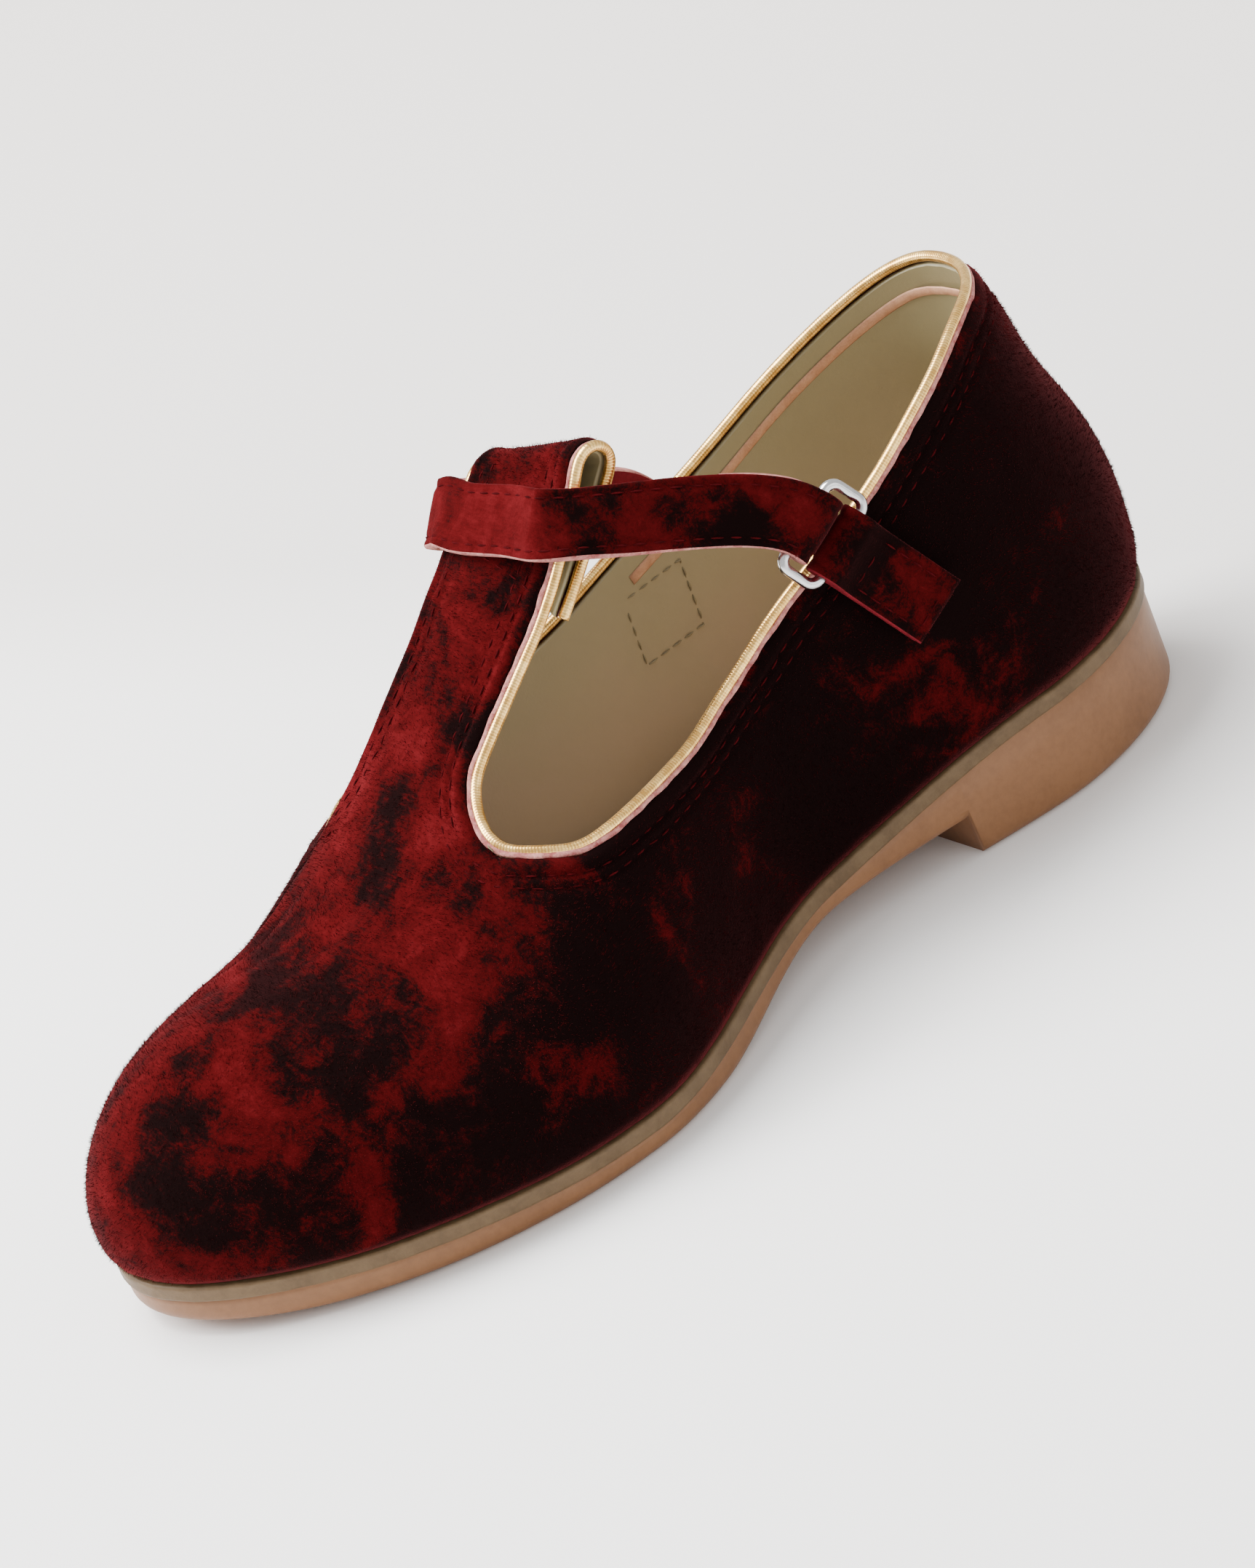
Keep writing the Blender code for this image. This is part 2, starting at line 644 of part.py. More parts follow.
def curve_through(route, steps):
    """A smooth path through a route of (point, facing), as points and unit facings."""
    p = np.array([np.concatenate(pair) for pair in route])
    knots = np.concatenate([[0], np.cumsum(np.linalg.norm(np.diff(p[:, :3], axis=0), axis=1))])
    slope = np.gradient(p, knots, axis=0)
    out = []
    for i in range(len(p) - 1):
        h = knots[i + 1] - knots[i]
        for s in np.arange(steps) / steps:
            start = (1 + 2 * s) * (1 - s) ** 2 * p[i] + s * (1 - s) ** 2 * h * slope[i]
            end = s**2 * (3 - 2 * s) * p[i + 1] - s**2 * (1 - s) * h * slope[i + 1]
            out.append(start + end)
    out = np.array(out + [p[-1]])
    return out[:, :3], unit(out[:, 3:])


class Fastening:
    """Places of the tab, the ring and the strap on the outer quarter."""

    def __init__(self):
        slant = math.radians(30)
        top = float(smooth(TOP_EDGE[1], TAB_ALONG))
        self.shares = np.linspace(0, 1, 7)
        self.points, self.normals = [], []
        for share in self.shares:
            along = TAB_ALONG + share * TAB_LENGTH * math.sin(slant) / LENGTH
            height = top - share * TAB_LENGTH * math.cos(slant)
            point, normal = shell_frame(along, 1, height)
            self.points.append(point)
            self.normals.append(normal)
        self.normal = self.normals[0]
        up = unit(self.points[0] - self.points[2])
        self.across = unit(np.cross(self.normal, up))
        self.up = np.cross(self.across, self.normal)
        lift = 2 * CLEARANCE + TAB_THICKNESS + WIRE_RADIUS
        self.tab_bar = self.points[0] + lift * self.normal + TAB_ABOVE * self.up
        tilt = math.radians(RING_TILT)
        self.ring_up = math.cos(tilt) * self.up - math.sin(tilt) * self.normal
        self.ring_normal = np.cross(self.ring_up, self.across)
        self.strap_bar = self.tab_bar + (RING_LENGTH - 2 * WIRE_RADIUS) * self.ring_up
        self.strap_fold = WIRE_RADIUS + 1.8 * CLEARANCE + STRAP_THICKNESS / 2


def make_ring(place):
    """Bent wire: a rounded rectangle through the tab's fold and the strap's fold."""
    half_long = RING_LENGTH / 2 - WIRE_RADIUS
    half_wide = RING_WIDTH / 2 - WIRE_RADIUS
    centre = (place.tab_bar + place.strap_bar) / 2
    centres, sides = [], []
    for corner in range(4):
        x = (half_wide - RING_CORNER) * (1 if corner in (0, 3) else -1)
        y = (half_long - RING_CORNER) * (1 if corner in (0, 1) else -1)
        for step in range(5):
            turn = (corner + step / 4) * math.pi / 2
            out = math.cos(turn) * place.across + math.sin(turn) * place.ring_up
            centres.append(centre + x * place.across + y * place.ring_up + RING_CORNER * out)
            sides.append(out)
    profile = circle_profile(WIRE_RADIUS, 8)
    normals = [place.ring_normal] * len(centres)
    swept("buckle_ring", centres, sides, normals, profile, STEEL, 0.25, 1.0, loop=True)


def make_tab(place):
    """A band folded round the ring's lower bar, both layers lying down the outer quarter."""
    layer = TAB_THICKNESS + CLEARANCE
    low = CLEARANCE + TAB_THICKNESS / 2
    fold = WIRE_RADIUS + CLEARANCE + TAB_THICKNESS / 2
    centres, normals = [], []
    for point, normal in zip(place.points[::-1], place.normals[::-1]):
        centres.append(point + low * normal)
        normals.append(-normal)
    for turn in np.linspace(0, math.pi, 9)[1:-1]:
        out = math.sin(turn) * place.up - math.cos(turn) * place.normal
        centres.append(place.tab_bar + fold * out)
        normals.append(out)
    spread = low + 2 * fold - (low + layer)
    for share, point, normal in zip(place.shares, place.points, place.normals):
        raised = max(0.0, 1 - share / 0.4) ** 2
        centres.append(point + (low + layer + spread * raised) * normal)
        normals.append(normal)
    centres, normals = np.array(centres), np.array(normals)
    band(centres, normals, "buckle_tab", TAB_WIDTH, TAB_THICKNESS)


def band(centres, normals, name, width, thickness):
    """A flat band along a path, facing as near to the given normals as the path allows."""
    tangent = unit(np.gradient(centres, axis=0))
    sides = unit(np.cross(tangent, normals))
    out = unit(np.cross(sides, tangent))
    swept(name, centres, sides, out, band_profile(width, thickness), VELVET, 0.85)


def t_face_point(outer_share, height):
    """A point on the T-strap's free front at a height above the floor, and its facing."""
    root = t_root(outer_share)
    rises = np.linspace(0, 1.5 * T_RISE, 60)
    heights = [t_front(root, outer_share, rise)[0][2] for rise in rises]
    point, direction, face = t_front(root, outer_share, float(np.interp(height, heights, rises)))
    return point, face


def strap_root():
    """The strap's sewn end: points and facings up the inner quarter to above its top edge."""
    lift = CLEARANCE + STRAP_THICKNESS / 2
    top = float(smooth(TOP_EDGE[-1], STRAP_ALONG))
    route = []
    for share in (1.0, 0.6, 0.2):
        below = share * STRAP_ROOT
        point, normal = shell_frame(STRAP_ALONG + 0.5 * below / LENGTH, -1, top - below)
        route.append((point + lift * normal, normal))
    over = 2 * route[-1][0] - route[-2][0]
    route.append((over + 0.25 * MM * normal, normal))
    return route


def strap_route(place):
    """Points and facings from the inner quarter, round the T-strap, to the ring's upper bar."""
    inner = np.array([-1.0, 0, 0])
    lift = 2 * CLEARANCE + STRAP_THICKNESS / 2
    front = []
    for share in (0.0, 0.25, 0.5, 0.75, 1.0):
        point, face = t_face_point(share, STRAP_HEIGHT)
        front.append((point + (lift + STRAP_LIFT * share**2) * face, face))
    edge, face = front[0][0] - lift * front[0][1], front[0][1]
    centre = edge - (STRAP_WRAP - lift) * face
    wrap = []
    for turn in np.radians((0, 30, 60)):
        tip = math.radians(STRAP_TWIST) * math.cos(turn)
        ahead = math.cos(tip) * face + math.sin(tip) * np.cross(face, inner)
        out = math.cos(turn) * inner + math.sin(turn) * ahead
        wrap.append((centre + STRAP_WRAP * out, out))
    route = strap_root()
    low, high = route[-1], wrap[0]
    for share in (1 / 3, 2 / 3):
        point = (1 - share) * low[0] + share * high[0] + STRAP_BOW * inner
        route.append((point, unit((1 - share) * low[1] + share * high[1])))
    route += wrap
    route += front
    start, turned = route[-1]
    leaving = unit(start - route[-2][0])
    beyond = start + 2 * PIPING_RADIUS * leaving
    route.append((beyond, turned))
    end = place.strap_bar + place.strap_fold * place.ring_normal
    chord = np.linalg.norm(end - beyond)
    pull = chord * unit(end - beyond) + 0.1 * chord * leaving
    for s in (0.25, 0.5, 0.75, 0.9, 1.0):
        ahead = (s - 2 * s**2 + s**3) * pull + (s**2 - s**3) * 0.7 * chord * place.ring_up
        point = (1 - 3 * s**2 + 2 * s**3) * beyond + (3 * s**2 - 2 * s**3) * end + ahead
        route.append((point, unit((1 - s) * turned + s * place.ring_normal)))
    return route


def make_strap(place):
    """Velvet strap: up from the inner quarter, in front of the T-strap, round the bar and back."""
    centres, normals = curve_through(strap_route(place), 3)
    turned, turned_normals = [], []
    for turn in np.linspace(0, math.pi, 9)[1:]:
        out = math.cos(turn) * place.ring_normal - math.sin(turn) * place.ring_up
        turned.append(place.strap_bar + place.strap_fold * out)
        turned_normals.append(out)
    run = np.concatenate([[0], np.cumsum(np.linalg.norm(np.diff(centres[::-1], axis=0), axis=1))])
    under = STRAP_THICKNESS + CLEARANCE
    tangent = unit(np.gradient(centres, axis=0))
    facing = unit(normals - (normals * tangent).sum(1, keepdims=True) * tangent)
    for length, point, normal in list(zip(run, centres[::-1], facing[::-1]))[1:]:
        if length > STRAP_TAIL:
            break
        depth = under + (2 * place.strap_fold - under) * max(0.0, 1 - length / STRAP_CLOSES) ** 2
        turned.append(point - depth * normal)
        turned_normals.append(-normal)
    centres = np.vstack([centres, turned])
    normals = np.vstack([normals, turned_normals])
    band(centres, normals, "ankle_strap", STRAP_WIDTH, STRAP_THICKNESS)


def make():
    for item in list(bpy.data.objects):
        bpy.data.objects.remove(item)
    skin = UpperSkin()
    make_upper(skin)
    make_piping(skin)
    make_outsole()
    make_insole()
    place = Fastening()
    make_ring(place)
    make_tab(place)
    make_strap(place)


make()
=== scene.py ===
"""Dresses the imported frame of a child's T-bar mary jane, left shoe.

The first half repeats the sizes and curves of the solids; the second half lays velvet, lining,
piping, stitches, rubber and wire over them at a finer grain. Lengths are in metres.
"""

import math

import bmesh
import bpy
import numpy as np
from mathutils import Matrix, Vector, noise
from mathutils.bvhtree import BVHTree
from mathutils.kdtree import KDTree


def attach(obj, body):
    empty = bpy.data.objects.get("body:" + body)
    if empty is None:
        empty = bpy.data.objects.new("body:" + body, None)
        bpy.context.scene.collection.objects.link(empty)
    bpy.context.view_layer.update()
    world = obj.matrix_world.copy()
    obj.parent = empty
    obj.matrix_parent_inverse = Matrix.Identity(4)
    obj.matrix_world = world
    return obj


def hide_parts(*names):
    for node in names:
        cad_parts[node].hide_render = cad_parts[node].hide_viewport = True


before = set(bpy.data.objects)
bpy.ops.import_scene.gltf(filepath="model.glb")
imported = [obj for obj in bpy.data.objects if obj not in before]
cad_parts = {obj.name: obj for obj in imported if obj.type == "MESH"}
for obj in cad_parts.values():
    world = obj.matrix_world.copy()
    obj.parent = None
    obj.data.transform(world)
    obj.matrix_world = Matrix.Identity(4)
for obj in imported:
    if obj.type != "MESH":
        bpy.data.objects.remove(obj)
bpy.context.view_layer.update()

MM = 0.001

# Driving dimensions of the last
LENGTH = 168 * MM  # feather line, toe to heel
BALL_WIDTH = 66 * MM
WAIST_WIDTH = 41 * MM
HEEL_WIDTH = 46.5 * MM
TOE_HEIGHT = 32.4 * MM  # top of the toe box above the floor
INSTEP_HEIGHT = 54.9 * MM  # ridge above the floor at the T-strap's root
COLLAR_HEIGHT = 65 * MM  # top edge above the floor beside the heel
FOREFOOT_SEAT = 5.6 * MM  # feather line above the floor at the ball
HEEL_SEAT = 16.2 * MM  # feather line above the floor at the heel
TOE_SPRING = 3.2 * MM  # rise of the feather line at the toe
HEEL_REST = 0.86  # along, of the heel's ground centre

# Upper
WALL = 1.8 * MM
CLEARANCE = 0.3 * MM
T_WIDTH = 19.0 * MM
T_CENTRE = -2.2 * MM  # across, of the T-strap's centre line
T_LEAVES = 0.480  # along, where the T-strap leaves the last
T_RISE = 16.9 * MM  # length of the T-strap's free front layer
T_SKEW = 6.8 * MM  # its outer edge is this much longer than its inner edge
T_FLAT = 14.0 * MM  # above this rise it is flat across, below it still arches like the last
T_FOLD_RADIUS = 3.5 * MM  # outside of the fold at the T-strap's top
T_LEAN = (42.4, 12)  # degrees: its slope at the root, and how much more its outer edge turns up
T_TAIL = 1.5 * MM  # the folded layer ends this far above the root
THROAT = {1: 0.349, -1: 0.320}  # along, of the front of each side opening
PIPING_RADIUS = 0.75 * MM

# Sole
SOLE_MARGIN = 0.5 * MM  # the sole's edge stands this far outside the feather line
LIP_HEIGHT = 2.2 * MM
LIP_STEP = 0.45 * MM
SOLE_ROUND = 1.7 * MM  # radius under the sole's edge
SOLE_THICKNESS = 6.4 * MM  # at the toe
ARCH_THICKNESS = 5.4 * MM
HEEL_BREAST = 0.727  # along
INSOLE_THICKNESS = 2.0 * MM

# Strap, tab and buckle
STRAP_WIDTH = 9.2 * MM
STRAP_THICKNESS = 1.9 * MM
STRAP_HEIGHT = 67.7 * MM  # of its middle above the floor, where it crosses the T-strap
STRAP_WRAP = 4.0 * MM  # radius of its middle round the T-strap's inner edge
STRAP_LIFT = 2.4 * MM  # more room above the T-strap at its outer edge
STRAP_TWIST = 15  # degrees: it turns this much more upright round that edge
STRAP_BOW = 1.5 * MM  # how far it bows out between the inner quarter and the T-strap
STRAP_ALONG = 0.700  # along, where it crosses the inner top edge
STRAP_ROOT = 11.0 * MM  # length sewn on the inner quarter
STRAP_TAIL = 12.0 * MM  # length folded back under the ring's bar
STRAP_CLOSES = 7.0 * MM  # from the ring to where its two layers lie together
TAB_WIDTH = 9.6 * MM
TAB_THICKNESS = 1.2 * MM
TAB_LENGTH = 15.5 * MM
WIRE_RADIUS = 0.75 * MM
RING_WIDTH = 14.1 * MM  # outside, across the strap
RING_LENGTH = 7.2 * MM  # outside, along the strap
RING_TILT = 4  # degrees, in from the tab's plane
RING_CORNER = 1.5 * MM  # of the wire's centre line
TAB_ALONG = 0.707  # along, where the tab's fold meets the top edge
TAB_ABOVE = 1.0 * MM  # the ring's lower bar lies this far above the top edge

# Plan of the last: along, width, centre line's offset to the outer side
PLAN = np.array([
    (0.00, 0.86 * BALL_WIDTH, -0.053 * BALL_WIDTH),
    (0.18, 0.95 * BALL_WIDTH, -0.028 * BALL_WIDTH),
    (0.34, 1.00 * BALL_WIDTH, -0.010 * BALL_WIDTH),
    (0.60, 1.00 * WAIST_WIDTH, -0.040 * WAIST_WIDTH),
    (0.84, 1.00 * HEEL_WIDTH, 0.012 * HEEL_WIDTH),
    (1.00, 0.98 * HEEL_WIDTH, 0.016 * HEEL_WIDTH),
])
TOE_CAP = 0.30  # share of the length that rounds off towards the toe
TOE_POWER = 2.0
HEEL_CAP = 0.20
HEEL_POWER = 2.15
CAP_SPACING = 1.15  # the rows' spacing round both caps

# Feather line above the floor: along, height
SEAT_RISE = HEEL_SEAT - FOREFOOT_SEAT
FEATHER = np.array([
    (0.00, FOREFOOT_SEAT + TOE_SPRING),
    (0.14, FOREFOOT_SEAT + 0.38 * TOE_SPRING),
    (0.33, FOREFOOT_SEAT),
    (0.60, FOREFOOT_SEAT + 0.44 * SEAT_RISE),
    (0.82, HEEL_SEAT),
    (1.00, HEEL_SEAT),
])

# Ridge of the last, carried on above the openings: along, height, offset to the outer side
RIDGE = np.array([
    (0.00, 0.804 * TOE_HEIGHT, -0.050 * BALL_WIDTH),
    (0.12, 1.000 * TOE_HEIGHT, -0.050 * BALL_WIDTH),
    (0.22, 1.004 * TOE_HEIGHT, -0.032 * BALL_WIDTH),
    (0.32, 0.735 * INSTEP_HEIGHT, -0.048 * BALL_WIDTH),
    (0.42, 1.000 * INSTEP_HEIGHT, -0.120 * BALL_WIDTH),
    (0.52, 1.268 * INSTEP_HEIGHT, -0.100 * BALL_WIDTH),
    (0.70, 1.682 * INSTEP_HEIGHT, -0.030 * BALL_WIDTH),
    (0.84, 1.500 * INSTEP_HEIGHT, 0.010 * BALL_WIDTH),
])
ARCH_POWER = 2.15  # 2 is an ellipse, more is squarer
RIDGE_ENDS = (0.13, 0.83)  # along, where the stations start to fan round the toe and the heel
RIDGE_BLEND = (0.055, 0.03)
TOE_POLE = 0.05  # along, the stations ahead of this one meet in one point of the ridge
EDGE_BULGE = (1.9 * MM, 0.9 * MM, 2.2 * MM)  # over the sole's edge at toe, waist and heel
HEEL_HOLLOW = (1.9 * MM, 0.50, 0.15)  # depth at the back, and its height's middle and half spread

# Top edge of each side: along, height
TOP_EDGE = {
    1: np.array([
        (0.355, 0.565 * COLLAR_HEIGHT),
        (0.415, 0.554 * COLLAR_HEIGHT),
        (0.520, 0.559 * COLLAR_HEIGHT),
        (0.588, 0.610 * COLLAR_HEIGHT),
        (0.642, 0.681 * COLLAR_HEIGHT),
        (0.748, 0.808 * COLLAR_HEIGHT),
        (0.831, 0.912 * COLLAR_HEIGHT),
        (0.922, 0.977 * COLLAR_HEIGHT),
        (1.00, 0.990 * COLLAR_HEIGHT),
    ]),
    -1: np.array([
        (0.320, 0.515 * COLLAR_HEIGHT),
        (0.415, 0.5485 * COLLAR_HEIGHT),
        (0.525, 0.597 * COLLAR_HEIGHT),
        (0.637, 0.668 * COLLAR_HEIGHT),
        (0.753, 0.743 * COLLAR_HEIGHT),
        (0.850, 0.832 * COLLAR_HEIGHT),
        (0.922, 0.906 * COLLAR_HEIGHT),
        (1.00, 0.990 * COLLAR_HEIGHT),
    ]),
}
# Each side opening's front: height of its foremost point, and how far back it rounds off
THROAT_HEIGHT = {1: 0.602 * COLLAR_HEIGHT, -1: 0.535 * COLLAR_HEIGHT}
THROAT_ROUND_TOP = {1: 0.033, -1: 0.120}  # share of the length, on the T-strap's side
THROAT_ROUND_LOW = 0.050  # on the quarter's side
THROAT_POWER = 1.68  # 2 is an ellipse, less is more pointed


def smooth(table, at, column=1):
    """Reads a table's column at a share, on a curve that doesn't overshoot its rows."""
    x, y = table[:, 0], table[:, column]
    at = np.clip(np.asarray(at, float), x[0], x[-1])
    step = np.diff(x)
    slope = np.diff(y) / step
    tangent = np.zeros(len(x))
    for i in range(1, len(x) - 1):
        if slope[i - 1] * slope[i] > 0:
            w0 = 2 * step[i] + step[i - 1]
            w1 = step[i] + 2 * step[i - 1]
            tangent[i] = (w0 + w1) / (w0 / slope[i - 1] + w1 / slope[i])
    tangent[0], tangent[-1] = slope[0], slope[-1]
    i = np.clip(np.searchsorted(x, at, side="right") - 1, 0, len(x) - 2)
    h, s = step[i], (at - x[i]) / step[i]
    return (
        y[i] * (1 + 2 * s) * (1 - s) ** 2
        + y[i + 1] * s**2 * (3 - 2 * s)
        + h * (tangent[i] * s * (1 - s) ** 2 - tangent[i + 1] * s**2 * (1 - s))
    )


def unit(v):
    return v / np.maximum(np.linalg.norm(v, axis=-1, keepdims=True), 1e-12)


def length_run(path):
    """The length run at each point of a polyline."""
    return np.concatenate([[0], np.cumsum(np.linalg.norm(np.diff(path, axis=0), axis=1))])


def read_at(at, run, rows):
    """Rows of numbers, read between one another at places along a run."""
    return np.column_stack([np.interp(at, run, column) for column in rows.T])


def fan(steps):
    """Shares from 0 to 1 that lie closer together towards 0."""
    return 1 - np.cos(np.linspace(0, math.pi / 2, steps))


def lengthwise(along):
    return (np.asarray(along, float) - HEEL_REST) * LENGTH


def plan(along):
    """Centre line and half width of the feather line."""
    along = np.asarray(along, float)
    toe = np.clip(1 - along / TOE_CAP, 0, 1)
    heel = np.clip((along - (1 - HEEL_CAP)) / HEEL_CAP, 0, 1)
    cap = (1 - toe**TOE_POWER) ** (1 / TOE_POWER) * (1 - heel**HEEL_POWER) ** (1 / HEEL_POWER)
    return smooth(PLAN, along, 2), smooth(PLAN, along, 1) * cap / 2


def ridge_station(along):
    """Along, held back near the ends so that the stations fan round the toe and the heel."""
    along = np.maximum(along, TOE_POLE)
    low, high = RIDGE_ENDS
    toe, heel = RIDGE_BLEND
    rise = toe * np.logaddexp(0, (along - low) / toe)
    return low + rise - heel * np.logaddexp(0, (along - high) / heel)


def feather_point(along, side):
    centre, half = plan(along)
    return np.stack([centre + side * half, lengthwise(along), smooth(FEATHER, along)], -1)


def ridge_point(along):
    at = ridge_station(np.asarray(along, float))
    return np.stack([smooth(RIDGE, at, 2), lengthwise(at), smooth(RIDGE, at)], -1)


def last(along, side, angle):
    """The last's outside: angle runs from 0 at the feather line to a quarter turn at the ridge."""
    along, angle = np.broadcast_arrays(np.asarray(along, float), np.asarray(angle, float))
    foot, ridge = feather_point(along, side), ridge_point(along)
    inward = 1 - np.cos(angle) ** (2 / ARCH_POWER)
    upward = np.sin(angle) ** (2 / ARCH_POWER)
    toe, waist, heel = EDGE_BULGE
    bulge = np.interp(along, (0, 0.45, 0.6, 1), (toe, waist, waist, heel))
    swell = bulge * np.sin(np.pi * np.clip(upward, 0, 1) ** 0.6)
    hollow, middle, spread = HEEL_HOLLOW
    behind = np.clip((along - 0.84) / 0.14, 0, 1)
    swell = swell - hollow * behind**2 * np.exp(-(((upward - middle) / spread) ** 2))
    out = unit((foot - ridge)[..., :2])
    point = foot + (ridge - foot) * np.stack([inward, inward, upward], -1)
    point[..., :2] += out * swell[..., None]
    return point


def angle_at_height(along, side, height):
    foot, ridge = feather_point(along, side)[..., 2], ridge_point(along)[..., 2]
    share = np.clip((height - foot) / (ridge - foot), 0, 1)
    return np.arcsin(share ** (ARCH_POWER / 2))


def angle_at_width(along, side, across):
    """The angle at which a station passes a given distance across."""
    angles = np.linspace(0.35, math.pi / 2, 60)
    x = side * last(np.full(60, along), side, angles)[:, 0]
    return float(np.interp(-side * across, -x, angles))


def throat_round(share):
    return (1 - (1 - share) ** THROAT_POWER) ** (1 / THROAT_POWER)


def opening_edges(along, side):
    """Angles of the quarter's top edge and of the T-strap's edge, which meet at the throat."""
    start = THROAT[side]
    middle = angle_at_height(start, side, THROAT_HEIGHT[side])
    t_edge = angle_at_width(along, side, T_CENTRE + side * T_WIDTH / 2)
    if along <= start:
        return middle + 0.25 * (along - start), middle + 0.25 * (along - start)
    low = min((along - start) / THROAT_ROUND_LOW, 1)
    top = min((along - start) / THROAT_ROUND_TOP[side], 1)
    quarter = angle_at_height(along, side, smooth(TOP_EDGE[side], along))
    opened_low = middle + (quarter - middle) * throat_round(low)
    opened_top = middle + (t_edge - middle) * throat_round(top)
    return float(opened_low), float(opened_top)


def stations():
    """The upper's stations, closer together at the toe, the throats and the heel."""
    toe = TOE_CAP * fan(9) ** CAP_SPACING
    heel = 1 - HEEL_CAP * fan(8) ** CAP_SPACING
    inner = THROAT[-1] + THROAT_ROUND_TOP[-1] * fan(19)
    outer = THROAT[1] + THROAT_ROUND_LOW * fan(19)
    middle = [0.5 * (T_LEAVES + inner[-1]), T_LEAVES, 0.535, 0.59, 0.645, 0.70, 0.755]
    return np.unique(np.round(np.concatenate([toe, inner, outer, middle, heel]), 5))


QUARTER_COLUMNS = 42
T_COLUMNS = {1: 20, -1: 8}
ROW_GAP = 1.25 * MM


def crowded(columns, power=1.5):
    """Shares from 0 to 1 that lie closer together towards 1."""
    return 1 - (1 - np.linspace(0, 1, columns + 1)) ** power


def dense(rows, gap):
    """Rows with more laid between them, so that none lie further apart than the gap."""
    out = [rows[0]]
    for a, b in zip(rows, rows[1:]):
        out += list(np.linspace(a, b, max(1, math.ceil((b - a) * LENGTH / gap)) + 1)[1:])
    return np.array(out)


def t_column(root, outer_share):
    """Outside points of one lengthwise line of the free T-strap: up, over the fold and down."""
    length = t_length(outer_share)
    points = [t_front(root, outer_share, length * s)[0] for s in np.linspace(0, 1, 15)[1:]]
    top, direction, face = t_front(root, outer_share, length)
    for turn in np.linspace(0, math.pi, 15)[1:]:
        around = math.sin(turn) * direction + (math.cos(turn) - 1) * face
        points.append(top + T_FOLD_RADIUS * around)
    tail_depth = 2 * WALL + 1.5 * CLEARANCE
    for rise in np.linspace(length, T_TAIL, 14)[1:]:
        share = ((rise - T_TAIL) / (length - T_TAIL)) ** 1.3
        depth = tail_depth + (2 * T_FOLD_RADIUS - tail_depth) * share
        point, direction, face = t_front(root, outer_share, rise)
        points.append(point - depth * face)
    return points


def t_root(outer_share):
    """The point where the T-strap leaves the last, from its inner edge to its outer edge."""
    across = T_CENTRE + (outer_share - 0.5) * T_WIDTH
    side = 1 if across > float(ridge_point(T_LEAVES)[0]) else -1
    return last(T_LEAVES, side, angle_at_width(T_LEAVES, side, across))


T_ROOT_EDGES = (t_root(0.0)[2], t_root(1.0)[2])


def t_front(root, outer_share, rise):
    """The T-strap's free front layer above its root, with its direction and its face."""
    start = math.radians(T_LEAN[0])
    lean = start + math.radians(T_LEAN[1]) * outer_share * rise / T_RISE
    middle = (start + lean) / 2
    point = root + rise * np.array([0, math.cos(middle), math.sin(middle)])
    share = min(rise / T_FLAT, 1)
    arched = root[2] - (1 - outer_share) * T_ROOT_EDGES[0] - outer_share * T_ROOT_EDGES[1]
    point[2] -= arched * share**2 * (3 - 2 * share)
    direction = np.array([0, math.cos(lean), math.sin(lean)])
    face = np.array([0, -math.sin(lean), math.cos(lean)])
    return point, direction, face


def t_length(outer_share):
    return T_RISE + T_SKEW * (outer_share - 0.5)


def mesh_normals(points, faces):
    normals = np.zeros_like(points)
    for face in faces:
        p = points[list(face)]
        area = np.cross(p[1] - p[0], p[2] - p[0])
        if len(face) == 4:
            area = area + np.cross(p[2] - p[0], p[3] - p[0])
        for i in face:
            normals[i] += area
    return unit(normals)


def rim_faces(faces, shift):
    """Faces that join a skin's open edges to those of its inner copy."""
    used = set()
    for face in faces:
        for a, b in zip(face, face[1:] + face[:1]):
            used.add((a, b))
    return [(b, a, a + shift, b + shift) for a, b in sorted(used) if (b, a) not in used]


